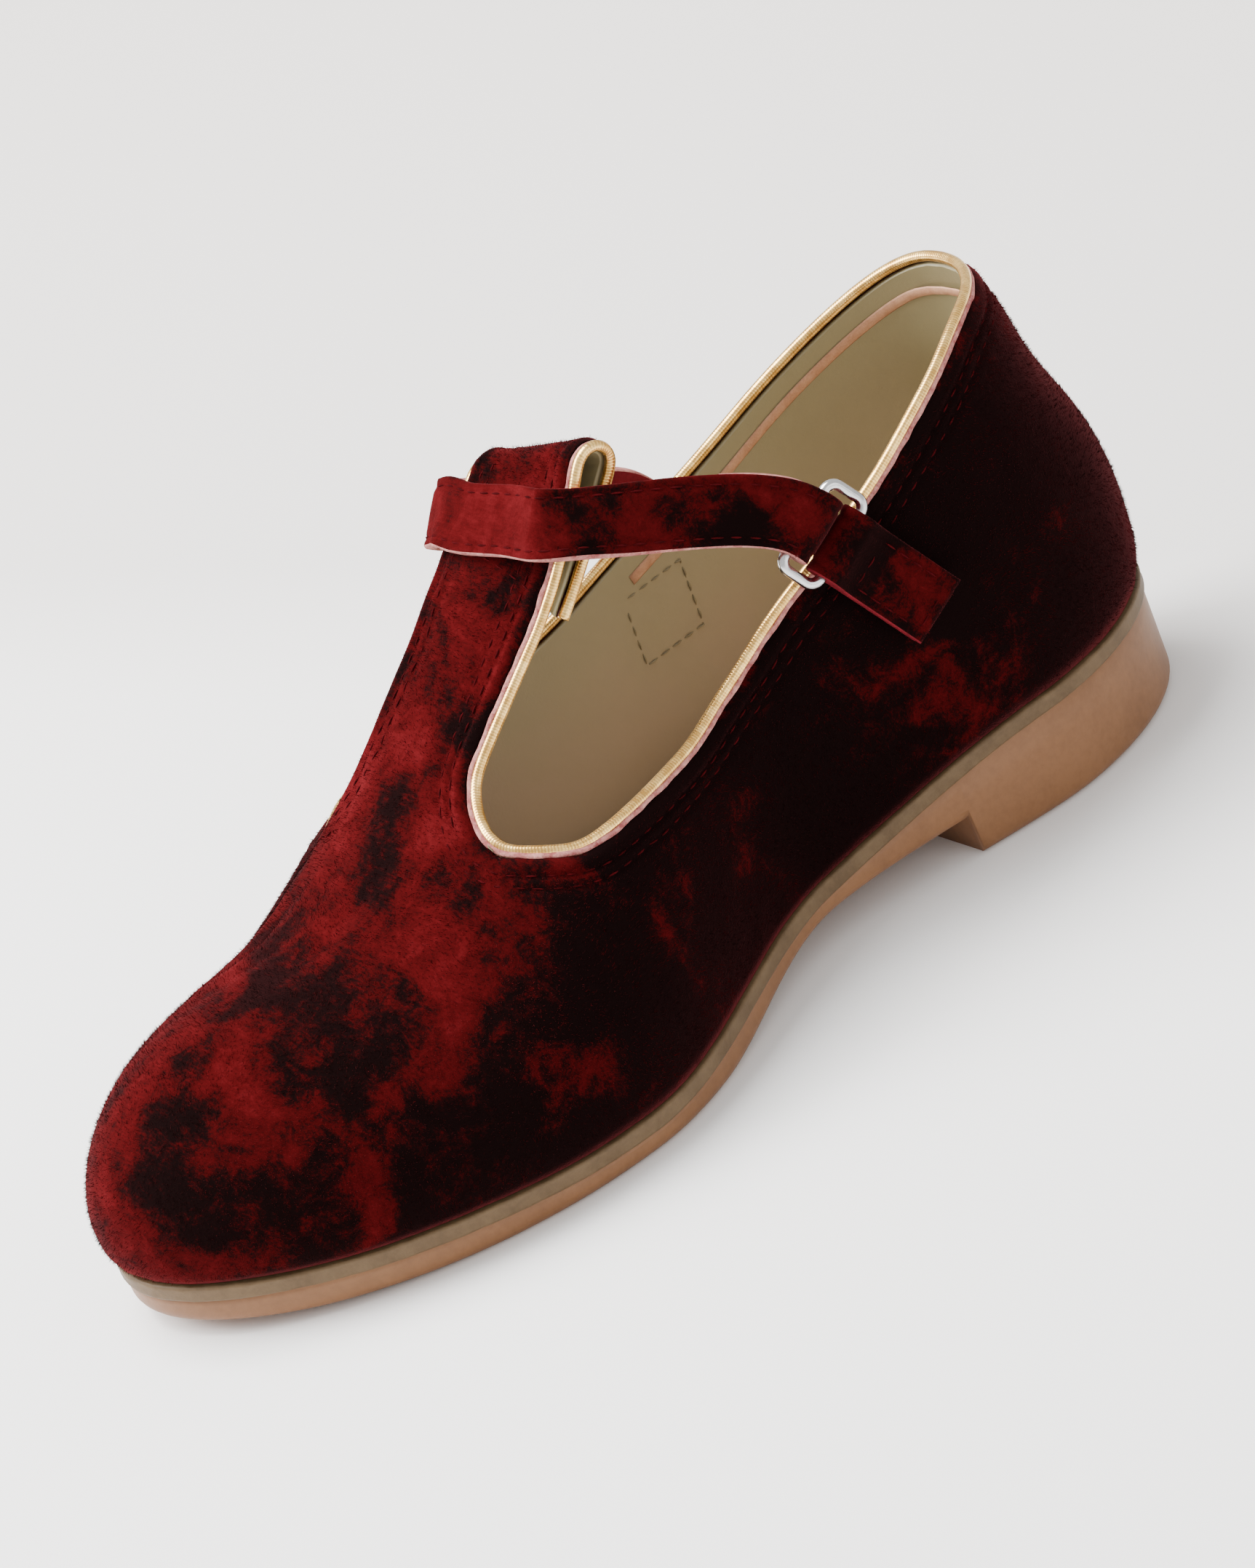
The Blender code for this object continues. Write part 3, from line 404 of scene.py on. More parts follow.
class UpperSkin:
    """The upper's outside as a grid, with the points of its edges kept by name."""

    def __init__(self):
        self.at = dense(stations(), ROW_GAP)
        self.points = []
        self.index = {}
        self.faces = []
        self.lay_quarters()
        self.lay_t_strap()
        self.points = np.array(self.points)

    def add(self, key, point):
        if key not in self.index:
            self.index[key] = len(self.points)
            self.points.append(point)
        return self.index[key]

    def face(self, corners, side):
        corners = [c for i, c in enumerate(corners) if c not in corners[:i]]
        if len(corners) > 2:
            self.faces.append(tuple(corners if side > 0 else corners[::-1]))

    def strip(self, a, b, side):
        """Faces between two lines, whether or not they have the same number of points."""
        i = j = 0
        while i < len(a) - 1 or j < len(b) - 1:
            next_a, next_b = (i + 1) * (len(b) - 1), (j + 1) * (len(a) - 1)
            if next_a == next_b:
                self.face([a[i], a[i + 1], b[j + 1], b[j]], side)
                i, j = i + 1, j + 1
            elif next_a < next_b:
                self.face([a[i], a[i + 1], b[j]], side)
                i += 1
            else:
                self.face([a[i], b[j + 1], b[j]], side)
                j += 1

    def lay_quarters(self):
        """Columns from the feather line up to the top edge, on both sides."""
        last_row = len(self.at) - 1
        for side in (1, -1):
            grid = []
            for row, along in enumerate(self.at):
                top = opening_edges(along, side)[0]
                shares = crowded(QUARTER_COLUMNS)
                line = last(along, side, top * shares)
                shared = 1 if row in (0, last_row) else side
                grid.append([self.add((shared, row, c), p) for c, p in enumerate(line)])
            for a, b in zip(grid, grid[1:]):
                self.strip(a, b, -side)

    def lay_t_strap(self):
        """The vamp's crown and the T-strap: columns from each edge to the ridge, then the fold."""
        rows = [r for r, along in enumerate(self.at) if along <= T_LEAVES + 1e-6]
        lines = []
        for row in rows:
            line = []
            for side in (1, -1):
                along = self.at[row]
                half = side if row else 1
                columns = T_COLUMNS[half]
                edge = opening_edges(along, side)[1]
                shares = 1 - crowded(columns, 1.3)[::-1]
                curve = last(along, side, edge + (math.pi / 2 - edge) * shares)
                ids = []
                for c, point in enumerate(curve):
                    if c == columns:
                        key = ("ridge", round(float(ridge_station(along)), 6))
                    elif c == 0 and along <= THROAT[side] + 1e-6:
                        key = (half, row, QUARTER_COLUMNS)
                    else:
                        key = ("crown", half, row, c)
                    ids.append(self.add(key, point))
                line.append(ids)
            lines.append(line)
        for a, b in zip(lines, lines[1:]):
            for k, side in ((0, 1), (1, -1)):
                self.strip(a[k], b[k], -side)
        root = lines[-1][0] + lines[-1][1][-2::-1]
        width = [self.points[i][0] for i in root]
        columns = []
        for i, x in zip(root, width):
            share = (x - width[-1]) / (width[0] - width[-1])
            column = [i]
            for k, point in enumerate(t_column(self.points[i], share)):
                column.append(self.add(("t", i, k), point))
            columns.append(column)
        for a, b in zip(columns, columns[1:]):
            for k in range(len(a) - 1):
                self.face([a[k], a[k + 1], b[k + 1], b[k]], 1)
        self.t_columns = columns


def sole_bottom(at):
    """Height of the sole's underside: toe spring, flat tread, arch, upright breast and heel."""
    toe_seat = FOREFOOT_SEAT + TOE_SPRING
    arch = FOREFOOT_SEAT + 0.44 * SEAT_RISE - ARCH_THICKNESS
    table = np.array([
        (0.00, toe_seat - SOLE_THICKNESS),
        (0.10, 0.30 * (toe_seat - SOLE_THICKNESS)),
        (0.22, 0.0),
        (0.42, 0.0),
        (0.60, arch),
        (HEEL_BREAST, 1.15 * arch),
    ])
    return np.where(at < HEEL_BREAST - 1e-6, smooth(table, at), 0.0)


def edge_path(skin):
    """The upper's free edge, from the folded tail's outer corner round to its inner corner."""
    rows = range(len(skin.at))
    last_row = rows[-1]
    top = QUARTER_COLUMNS
    crown = {
        s: [skin.index["crown", s, r, 0] for r in rows
            if ("crown", s, r, 0) in skin.index and skin.at[r] > THROAT[s] + 1e-6]
        for s in (1, -1)
    }
    quarter = {
        s: [skin.index[s, r, top] for r in rows if r != last_row and skin.at[r] >= THROAT[s] - 1e-6]
        for s in (1, -1)
    }
    heel = skin.index[1, last_row, top]
    outer = skin.t_columns[0][:0:-1] + crown[1][::-1] + quarter[1] + [heel]
    return outer + quarter[-1][::-1] + crown[-1] + skin.t_columns[-1][1:]


def shell_frame(along, side, height):
    """A point on the upper's outside with the outward normal there."""
    angle = angle_at_height(along, side, height)
    point = last(along, side, angle)
    ahead = last(along + 0.004, side, angle) - last(along - 0.004, side, angle)
    above = last(along, side, angle + 0.02) - last(along, side, angle - 0.02)
    return point, unit(side * np.cross(ahead, above))


def curve_through(route, steps):
    """A smooth path through a route of (point, facing), as points and unit facings."""
    p = np.array([np.concatenate(pair) for pair in route])
    knots = length_run(p[:, :3])
    slope = np.gradient(p, knots, axis=0)
    out = []
    for i in range(len(p) - 1):
        h = knots[i + 1] - knots[i]
        for s in np.arange(steps) / steps:
            start = (1 + 2 * s) * (1 - s) ** 2 * p[i] + s * (1 - s) ** 2 * h * slope[i]
            end = s**2 * (3 - 2 * s) * p[i + 1] - s**2 * (1 - s) * h * slope[i + 1]
            out.append(start + end)
    out = np.array(out + [p[-1]])
    return out[:, :3], unit(out[:, 3:])


class Fastening:
    """Places of the tab, the ring and the strap on the outer quarter."""

    def __init__(self):
        slant = math.radians(30)
        top = float(smooth(TOP_EDGE[1], TAB_ALONG))
        self.shares = np.linspace(0, 1, 7)
        self.points, self.normals = [], []
        for share in self.shares:
            along = TAB_ALONG + share * TAB_LENGTH * math.sin(slant) / LENGTH
            height = top - share * TAB_LENGTH * math.cos(slant)
            point, normal = shell_frame(along, 1, height)
            self.points.append(point)
            self.normals.append(normal)
        self.normal = self.normals[0]
        up = unit(self.points[0] - self.points[2])
        self.across = unit(np.cross(self.normal, up))
        self.up = np.cross(self.across, self.normal)
        lift = 2 * CLEARANCE + TAB_THICKNESS + WIRE_RADIUS
        self.tab_bar = self.points[0] + lift * self.normal + TAB_ABOVE * self.up
        tilt = math.radians(RING_TILT)
        self.ring_up = math.cos(tilt) * self.up - math.sin(tilt) * self.normal
        self.ring_normal = np.cross(self.ring_up, self.across)
        self.strap_bar = self.tab_bar + (RING_LENGTH - 2 * WIRE_RADIUS) * self.ring_up
        self.strap_fold = WIRE_RADIUS + 1.8 * CLEARANCE + STRAP_THICKNESS / 2


def t_face_point(outer_share, height):
    """A point on the T-strap's free front at a height above the floor, and its facing."""
    root = t_root(outer_share)
    rises = np.linspace(0, 1.5 * T_RISE, 60)
    heights = [t_front(root, outer_share, rise)[0][2] for rise in rises]
    point, direction, face = t_front(root, outer_share, float(np.interp(height, heights, rises)))
    return point, face


def strap_root():
    """The strap's sewn end: points and facings up the inner quarter to above its top edge."""
    lift = CLEARANCE + STRAP_THICKNESS / 2
    top = float(smooth(TOP_EDGE[-1], STRAP_ALONG))
    route = []
    for share in (1.0, 0.6, 0.2):
        below = share * STRAP_ROOT
        point, normal = shell_frame(STRAP_ALONG + 0.5 * below / LENGTH, -1, top - below)
        route.append((point + lift * normal, normal))
    over = 2 * route[-1][0] - route[-2][0]
    route.append((over + 0.25 * MM * normal, normal))
    return route


def strap_route(place):
    """Points and facings from the inner quarter, round the T-strap, to the ring's upper bar."""
    inner = np.array([-1.0, 0, 0])
    lift = 2 * CLEARANCE + STRAP_THICKNESS / 2
    front = []
    for share in (0.0, 0.25, 0.5, 0.75, 1.0):
        point, face = t_face_point(share, STRAP_HEIGHT)
        front.append((point + (lift + STRAP_LIFT * share**2) * face, face))
    edge, face = front[0][0] - lift * front[0][1], front[0][1]
    centre = edge - (STRAP_WRAP - lift) * face
    wrap = []
    for turn in np.radians((0, 30, 60)):
        tip = math.radians(STRAP_TWIST) * math.cos(turn)
        ahead = math.cos(tip) * face + math.sin(tip) * np.cross(face, inner)
        out = math.cos(turn) * inner + math.sin(turn) * ahead
        wrap.append((centre + STRAP_WRAP * out, out))
    route = strap_root()
    low, high = route[-1], wrap[0]
    for share in (1 / 3, 2 / 3):
        point = (1 - share) * low[0] + share * high[0] + STRAP_BOW * inner
        route.append((point, unit((1 - share) * low[1] + share * high[1])))
    route += wrap
    route += front
    start, turned = route[-1]
    leaving = unit(start - route[-2][0])
    beyond = start + 2 * PIPING_RADIUS * leaving
    route.append((beyond, turned))
    end = place.strap_bar + place.strap_fold * place.ring_normal
    chord = np.linalg.norm(end - beyond)
    pull = chord * unit(end - beyond) + 0.1 * chord * leaving
    for s in (0.25, 0.5, 0.75, 0.9, 1.0):
        ahead = (s - 2 * s**2 + s**3) * pull + (s**2 - s**3) * 0.7 * chord * place.ring_up
        point = (1 - 3 * s**2 + 2 * s**3) * beyond + (3 * s**2 - 2 * s**3) * end + ahead
        route.append((point, unit((1 - s) * turned + s * place.ring_normal)))
    return route


# Materials


class Look:
    """A material laid node by node. The shader's plain values sit on its own sockets."""

    def __init__(self, name, roughness, **constants):
        self.material = bpy.data.materials.new(name)
        self.material.use_nodes = True
        self.tree = self.material.node_tree
        self.shader = self.tree.nodes["Principled BSDF"]
        self.shader.inputs["Roughness"].default_value = roughness
        for key, value in constants.items():
            self.shader.inputs[key.replace("_", " ")].default_value = value

    def node(self, kind, sockets, **settings):
        """A node; each of its sockets takes a number or another node's output."""
        node = self.tree.nodes.new("ShaderNode" + kind)
        for key, value in settings.items():
            setattr(node, key, value)
        for key, value in sockets.items():
            if isinstance(value, bpy.types.NodeSocket):
                self.tree.links.new(value, node.inputs[key])
            else:
                node.inputs[key].default_value = value
        return node

    def place(self, kind="Object"):
        return self.node("TexCoord", {}).outputs[kind]

    def noise(self, scale, detail=3.0, roughness=0.5, distortion=0.0, stretch=(1, 1, 1)):
        """Noise in the object's own millimetres."""
        scaled = self.node("Mapping", {"Vector": self.place(), "Scale": [s / MM for s in stretch]})
        sockets = {"Vector": scaled.outputs[0], "Scale": scale, "Detail": detail,
                   "Roughness": roughness, "Distortion": distortion}
        return self.node("TexNoise", sockets).outputs["Fac"]

    def dot(self, value, direction):
        """How far a vector reaches in a direction."""
        return self.node("VectorMath", {0: value, 1: direction}, operation="DOT_PRODUCT").outputs["Value"]

    def maths(self, operation, a, b=0.0):
        return self.node("Math", {0: a, 1: b}, operation=operation).outputs[0]

    def total(self, *terms):
        """The sum of values, each times its weight."""
        products = [self.maths("MULTIPLY", value, weight) for value, weight in terms]
        value = products[0]
        for product in products[1:]:
            value = self.maths("ADD", value, product)
        return value

    def colour(self, value, *stops):
        """The base colour by a value: each stop is a position and a colour."""
        ramp = self.node("ValToRGB", {0: value})
        elements = ramp.color_ramp.elements
        while len(elements) < len(stops):
            elements.new(0.5)
        for element, (position, colour) in zip(elements, stops):
            element.position = position
            element.color = (*colour, 1)
        self.tree.links.new(ramp.outputs[0], self.shader.inputs["Base Color"])

    def bumps(self, *layers):
        """Bump layers of (height, strength, depth), chained."""
        under = {}
        for height, strength, depth in layers:
            node = self.node("Bump", {"Strength": strength, "Distance": depth, "Height": height, **under})
            under = {"Normal": node.outputs[0]}
        self.tree.links.new(under["Normal"], self.shader.inputs["Normal"])


def velvet(name="velvet", shift=0.0):
    """Crushed burgundy velvet in random crimson and near-black patches, with painted light: more crimson
    where it faces the lamps.
    """
    look = Look(name, 1.0, Sheen_Weight=0.19, Sheen_Roughness=0.34, Sheen_Tint=(1.0, 0.16, 0.18, 1),
                Specular_IOR_Level=0.02)
    patch = look.noise(0.075, 3, 0.55, 0.5)
    ragged = look.noise(0.27, 6, 0.8, 0.6)
    rows = look.noise(1.0, 3, 0.7, 0.0, (0.35, 2.8, 2.8))
    pile = look.noise(5.0, 2, 0.7)
    # painted light: a brighter crimson colour where the surface faces the lamps
    painted_light = look.dot(look.place("Normal"), PAINTED_LIGHT_SIDE)
    value = look.total((patch, 0.49), (ragged, 0.32), (rows, 0.14), (pile, 0.07), (painted_light, 0.090))
    look.colour(look.maths("ADD", value, shift), *VELVET_TONES)
    look.bumps((ragged, 0.35, 0.4 * MM), (rows, 0.35, 0.2 * MM), (pile, 0.5, 0.1 * MM))
    return look.material


def lining():
    """Lining leather, olive at the top edge and a warmer tan low down."""
    look = Look("lining_leather", 0.45)
    height = look.node("SeparateXYZ", {0: look.place()}).outputs["Z"]
    broad = look.noise(0.05, 4, 0.6, 0.3)
    look.colour(look.total((height, 1 / LINING_FADE), (broad, 0.35)), *LINING_TONES)
    look.bumps((broad, 0.15, 0.6 * MM), (look.noise(2.2, 4, 0.65), 0.4, 0.1 * MM))
    return look.material


def plain(name, dark, light, roughness, grain=1.0, patch=0.12, depth=0.1 * MM, strength=0.4, **more):
    """Two close tones in soft patches, with a grain bump."""
    look = Look(name, roughness, **more)
    broad = look.noise(patch, 4, 0.6, 0.3)
    small = look.noise(grain, 4, 0.65)
    look.colour(look.total((broad, 0.6), (small, 0.4)), (0.38, dark), (0.62, light))
    look.bumps((broad, 0.3 * strength, 0.6 * MM), (small, strength, depth))
    return look.material


def ribbed(name, dark, light, roughness, ribs, depth, **more):
    """A cord whose fine ribs cross it, by the "run" kept on its points."""
    look = Look(name, roughness, **more)
    run = look.node("Attribute", {}, attribute_name="run").outputs["Fac"]
    wave = look.maths("SINE", look.maths("MULTIPLY", run, ribs))
    # painted light: this noise paints small glints and shaded spots into the gold's colour, and the wave
    # paints the ribs' troughs darker as painted shade
    painted_glints = look.noise(0.5, 4, 0.7)
    look.colour(look.total((painted_glints, 0.8), (wave, 0.07)), (0.32, dark), (0.50, light))
    look.bumps((wave, 0.5, depth), (look.noise(3.0, 3, 0.7), 0.6, depth))
    return look.material


PAINTED_LIGHT_SIDE = (-0.52, -0.75, 0.41)  # painted light: the velvet's colour turns more crimson where its normal faces this way, towards the key and side lamps
VELVET_TONES = [
    (0.500, (0.0036, 0.0014, 0.0014)),
    (0.530, (0.0110, 0.0015, 0.0016)),
    (0.562, (0.0330, 0.0016, 0.0019)),
    (0.625, (0.0530, 0.0024, 0.0030)),
    (0.720, (0.0860, 0.0056, 0.0070)),
]
LINING_FADE = 80 * MM  # height over which the lining's tones run
LINING_TONES = [
    (0.42, (0.37, 0.282, 0.190)),
    (0.60, (0.33, 0.275, 0.165)),
    (0.80, (0.29, 0.250, 0.135)),
]

VELVET = velvet()
VELVET_STRAP = velvet("velvet_strap", 0.055)
LINING = lining()
SOCK = plain("sock_leather", (0.46, 0.35, 0.235), (0.57, 0.45, 0.32), 0.5, 2.0, 0.05)
GOLD = ribbed("gold_piping", (0.60, 0.34, 0.09), (0.95, 0.63, 0.22), 0.26, 16000, 0.01 * MM, Metallic=0.9)
RAW = plain("raw_edge", (0.24, 0.06, 0.06), (0.52, 0.24, 0.21), 0.8, 3.0, 0.6, 0.2 * MM, 0.8,
            Specular_IOR_Level=0.1)
THREAD = plain("thread", (0.022, 0.0018, 0.0022), (0.060, 0.0035, 0.0050), 0.9, 4.0, 0.5,
               Specular_IOR_Level=0.02)
UNDER = plain("strap_underside", (0.10, 0.005, 0.009), (0.17, 0.010, 0.016), 0.8, 3.0, 0.4,
              Specular_IOR_Level=0.1)
LIP = plain("rubber_lip", (0.084, 0.050, 0.022), (0.118, 0.074, 0.035), 0.55, 1.2, 0.2,
            Specular_IOR_Level=0.25, Subsurface_Weight=0.1, Subsurface_Radius=(0.003, 0.002, 0.001))
RUBBER = plain("rubber_wall", (0.155, 0.068, 0.026), (0.200, 0.091, 0.037), 0.45, 0.9, 0.06, 0.06 * MM,
               0.35, Specular_IOR_Level=0.3, Subsurface_Weight=0.1, Subsurface_Radius=(0.004, 0.002, 0.001))
TREAD = plain("rubber_tread", (0.20, 0.085, 0.035), (0.28, 0.125, 0.05), 0.55, 0.8, 0.08, strength=0.5)
STEEL = plain("ring_steel", (0.50, 0.50, 0.51), (0.60, 0.60, 0.60), 0.2, 2.0, 0.3, 0.02 * MM, 0.15,
              Metallic=1.0)
PEACH = plain("peach_tape", (0.46, 0.22, 0.12), (0.60, 0.33, 0.20), 0.6, 4.0, 0.5)
PATCH_THREAD = plain("patch_thread", (0.20, 0.16, 0.085), (0.30, 0.25, 0.15), 0.7, 4.0, 0.5)


# Pieces


def piece(name, points, faces, materials, nodes=(), indices=None, run=None):
    """One mesh that rides with the shoe."""
    mesh = bpy.data.meshes.new(name)
    mesh.from_pydata([tuple(map(float, p)) for p in points], [], [tuple(f) for f in faces])
    for material in materials:
        mesh.materials.append(material)
    if indices is not None:
        mesh.polygons.foreach_set("material_index", np.asarray(indices, np.int32))
    if run is not None:
        mesh.attributes.new("run", "FLOAT", "POINT").data.foreach_set("value", np.asarray(run, np.float32))
    body = bmesh.new()
    body.from_mesh(mesh)
    bmesh.ops.recalc_face_normals(body, faces=body.faces)
    body.to_mesh(mesh)
    body.free()
    mesh.shade_smooth()
    item = bpy.data.objects.new(name, mesh)
    bpy.context.collection.objects.link(item)
    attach(item, "root")
    if nodes:
        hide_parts(*nodes)
    return item


def wobble(points, scale, seed=0.0):
    """Smooth noise at points, about -1 to 1; scale is per millimetre."""
    return np.array([noise.noise(Vector(p) * (1000 * scale) + Vector((seed, 0, 0))) for p in points])


def waver(run, scale, y, z):
    """Smooth noise along a run, about -1 to 1; scale is per metre."""
    return np.array([noise.noise(Vector((s * scale, y, z))) for s in run])


def resampled(path, gap):
    """A polyline with even spacing."""
    run = length_run(path)
    at = np.linspace(0, run[-1], max(2, int(run[-1] / gap)) + 1)
    return read_at(at, run, path), at


def softened(path, rounds):
    """A polyline with its small corners rubbed off."""
    path = path.copy()
    for _ in range(rounds):
        path[1:-1] = 0.25 * path[:-2] + 0.5 * path[1:-1] + 0.25 * path[2:]
    return path


def swept(centres, sides, outs, profile, loop=False):
    """Points, faces and each face's place in the profile, for a profile swept along a path."""
    count, size = len(centres), len(profile)
    profile = np.asarray(profile)
    points = centres[:, None] + profile[None, :, :1] * sides[:, None] + profile[None, :, 1:] * outs[:, None]
    faces, place = [], []
    for row in range(count if loop else count - 1):
        a, b = row * size, ((row + 1) % count) * size
        for i in range(size):
            j = (i + 1) % size
            faces.append((a + i, a + j, b + j, b + i))
            place.append(i)
    if not loop:
        faces += [tuple(range(size)), tuple(range((count - 1) * size, count * size))]
        place += [0, 0]
    return points.reshape(-1, 3), faces, place


def circle(radius, corners, squash=1.0):
    turns = 2 * math.pi * np.arange(corners) / corners
    return np.column_stack([radius * np.cos(turns), squash * radius * np.sin(turns)])


STITCH_LENGTH = 1.7 * MM
STITCH_RADIUS = 0.13 * MM
STITCH_SINK = 0.02 * MM
STITCH_STEPS = 6  # rings along a stitch, and corners of each ring


def stitches(path, normals, name, material, gap=0.8 * MM, length=STITCH_LENGTH, radius=STITCH_RADIUS):
    """A row of stitches along a path on a surface, each a bead with dipping ends."""
    run = length_run(path)
    points, faces = [], []
    for start in np.arange(gap, run[-1] - length, length + gap):
        at = start + length * np.linspace(0, 1, STITCH_STEPS)
        up = unit(read_at(at, run, normals))
        arch = np.sin(np.linspace(0, math.pi, STITCH_STEPS))
        centres = read_at(at, run, path) + up * (radius * (1.1 * arch - 0.7) - STITCH_SINK)[:, None]
        side = unit(np.cross(unit(np.gradient(centres, axis=0)), up))
        size = radius * (0.45 + 0.55 * arch)[:, None]
        bead, bead_faces, _ = swept(centres, size * side, size * up, circle(1.0, STITCH_STEPS))
        faces += [tuple(len(points) + i for i in face) for face in bead_faces]
        points += list(bead)
    return piece(name, points, faces, [material])


NAP_FIBRES = {"upper": 90000, "ankle_strap": 20000, "buckle_tab": 6000}
NAP_WIDTH = 0.07 * MM
NAP_LEAN = 1.6  # how far the fibres lean in patches, against 1 upright
NAP_STRAY = 0.35  # how far each one strays by itself


def nap(name, slot, points, faces, keep, material, length):
    """Fibres of the pile as single thin triangles, leaning in patches, on faces that keep() allows."""
    count = NAP_FIBRES[slot]
    corners = np.array([(f[0], f[k], f[k + 1]) for f in faces for k in range(1, len(f) - 1)])
    a, b, c = (points[corners[:, k]] for k in range(3))
    normal = np.cross(b - a, c - a)
    area = np.linalg.norm(normal, axis=1)
    area = area * keep((a + b + c) / 3)
    pick = RANDOM.choice(len(corners), count, p=area / area.sum())
    u, v = RANDOM.random((2, count, 1))
    fold = u + v > 1
    u, v = np.where(fold, 1 - u, u), np.where(fold, 1 - v, v)
    foot = a[pick] + u * (b - a)[pick] + v * (c - a)[pick]
    normal = unit(normal[pick])
    lean = np.column_stack([wobble(foot, 0.06, seed) for seed in (31.0, 57.0, 83.0)])
    lean = NAP_LEAN * lean + NAP_STRAY * RANDOM.standard_normal((count, 3))
    ahead = unit(normal + lean - (lean * normal).sum(1, keepdims=True) * normal)
    across = unit(np.cross(ahead, RANDOM.standard_normal((count, 3))))
    tall = length * (0.55 + 0.75 * RANDOM.random((count, 1)))
    half = 0.5 * NAP_WIDTH * across
    fibres = np.stack([foot - half, foot + half, foot + tall * ahead], 1)
    triangles = np.arange(3 * count).reshape(-1, 3)
    return piece(name, fibres.reshape(-1, 3), triangles, [material])


def nearest(points, places):
    """From each place, the distance to the nearest of the points, and that point's index."""
    tree = KDTree(len(points))
    for i, p in enumerate(points):
        tree.insert(p, i)
    tree.balance()
    found = [tree.find(p) for p in places]
    return np.array([f[2] for f in found]), np.array([f[1] for f in found])


def clear_of(points, distance):
    """A test that is 1 for places further than a distance from all the points."""
    return lambda places: (nearest(points, places)[0] > distance).astype(float)


# Upper

RANDOM = np.random.default_rng(7)
FOLDS = [
    # from (x, y) to (x, y) in plan, depth, half width
    ((-14, -93), (-19, -118), 0.5, 1.6),
    ((-8, -90), (-13, -122), 0.35, 1.8),
    ((-19, -88), (-24, -108), 0.35, 1.6),
    ((2, -88), (-4, -112), 0.22, 2.2),
]
STITCH_ROWS = (2.5 * MM, 4.1 * MM)
# Swellings along the free edge in mm: height, distance from the edge, half width
SWELLS = [(0.16, 1.4, 0.6), (0.10, 3.3, 0.5)] + [(-0.30, row / MM, 0.42) for row in STITCH_ROWS]
PUCKER = (0.22, 3.6, 2.4)
EDGE_STEP = 0.8 * MM
THROAT_REACH = 9 * MM  # how far the rounding of a side opening's front reaches
THROAT_ROUNDS = 18
T_SEAM = 3.0 * MM  # rise of the stitched line across the T-strap
VELVET_LAYER = 0.90 * MM
LINING_DEPTH = 0.95 * MM  # of the lining's outside under the velvet's
PIPING_STEP = 0.5 * MM
TUCK_REACH = 8 * MM  # over this length before the inner throat the piping tucks itself in
TUCK = (0.55 * MM, 0.45 * MM)  # how far it goes in under the skin, and back from the edge
RAW_OVER = (0.46 * MM, 0.14 * MM)  # the raw edge's height on the piping, and how much that wavers
RAW_BACK = (0.74 * MM, 0.30 * MM)  # how far it lies back from the piping's middle
RAW_RADIUS = 0.40 * MM


def folds(points):
    """Soft troughs across the vamp."""
    out = np.zeros(len(points))
    for (x0, y0), (x1, y1), depth, width in FOLDS:
        a, b = np.array((x0, y0)) * MM, np.array((x1, y1)) * MM
        along = np.clip(((points[:, :2] - a) @ (b - a)) / ((b - a) @ (b - a)), -0.2, 1.2)
        away = np.linalg.norm(points[:, :2] - a - along[:, None] * (b - a), axis=1)
        fade = np.sin(math.pi * np.clip((along + 0.2) / 1.4, 0, 1))
        share = away / (width * MM)
        out += -depth * MM * fade * (np.exp(-share**2) - 0.45 * np.exp(-((share - 2) / 1.1) ** 2))
    return np.where(points[:, 2] > 0.012, out, 0.0)


def edge_places(points, path):
    """Distance from points to the free edge, and how far along the edge the nearest place is."""
    fine, run = resampled(path, 0.3 * MM)
    distance, index = nearest(fine, points)
    return distance, run[index]


def hump(d, height, middle, spread):
    return height * np.exp(-((d - middle) / spread) ** 2)


def velvet_relief(points, distance, run):
    """How far the velvet stands out from the last, by place and distance from the free edge."""
    d = distance / MM
    rounding = -0.50 * np.clip(1 - d, 0, 1) ** 2
    swelling = sum(hump(d, *swell) for swell in SWELLS)
    pucker = waver(run, 260, 3.1, 0) * hump(d, *PUCKER)
    crush = 0.14 * wobble(points, 0.11) + 0.06 * wobble(points, 0.33, 7.0)
    calm = np.clip(d / 3, 0.2, 1)
    return (rounding + swelling + pucker + crush * calm) * MM + folds(points)


def shell(name, skin, outside, inside, materials, nodes=()):
    """A closed shell between two copies of the skin."""
    shift = len(outside)
    faces = list(skin.faces) + [tuple(i + shift for i in f[::-1]) for f in skin.faces]
    faces += rim_faces(skin.faces, shift)
    return piece(name, np.vstack([outside, inside]), faces, materials, nodes)


def throat_place(skin, side):
    """The foremost point of a side opening."""
    row = int(np.argmin(np.abs(skin.at - THROAT[side])))
    return skin.points[skin.index[side, row, QUARTER_COLUMNS]]


def round_throats(skin, path_ids):
    """Rubs the corners off the side openings' fronts, and carries the skin beside them along."""
    path, _ = resampled(skin.points[path_ids], EDGE_STEP)
    near = [np.linalg.norm(path - throat_place(skin, side), axis=1) for side in (1, -1)]
    weight = np.clip(2 - np.minimum(*near) / THROAT_REACH, 0, 1)
    shift = weight[:, None] * (softened(path, THROAT_ROUNDS) - path)
    distance, index = nearest(path, skin.points)
    fade = np.clip(1 - distance / THROAT_REACH, 0, 1) ** 2
    skin.points += fade[:, None] * shift[index]


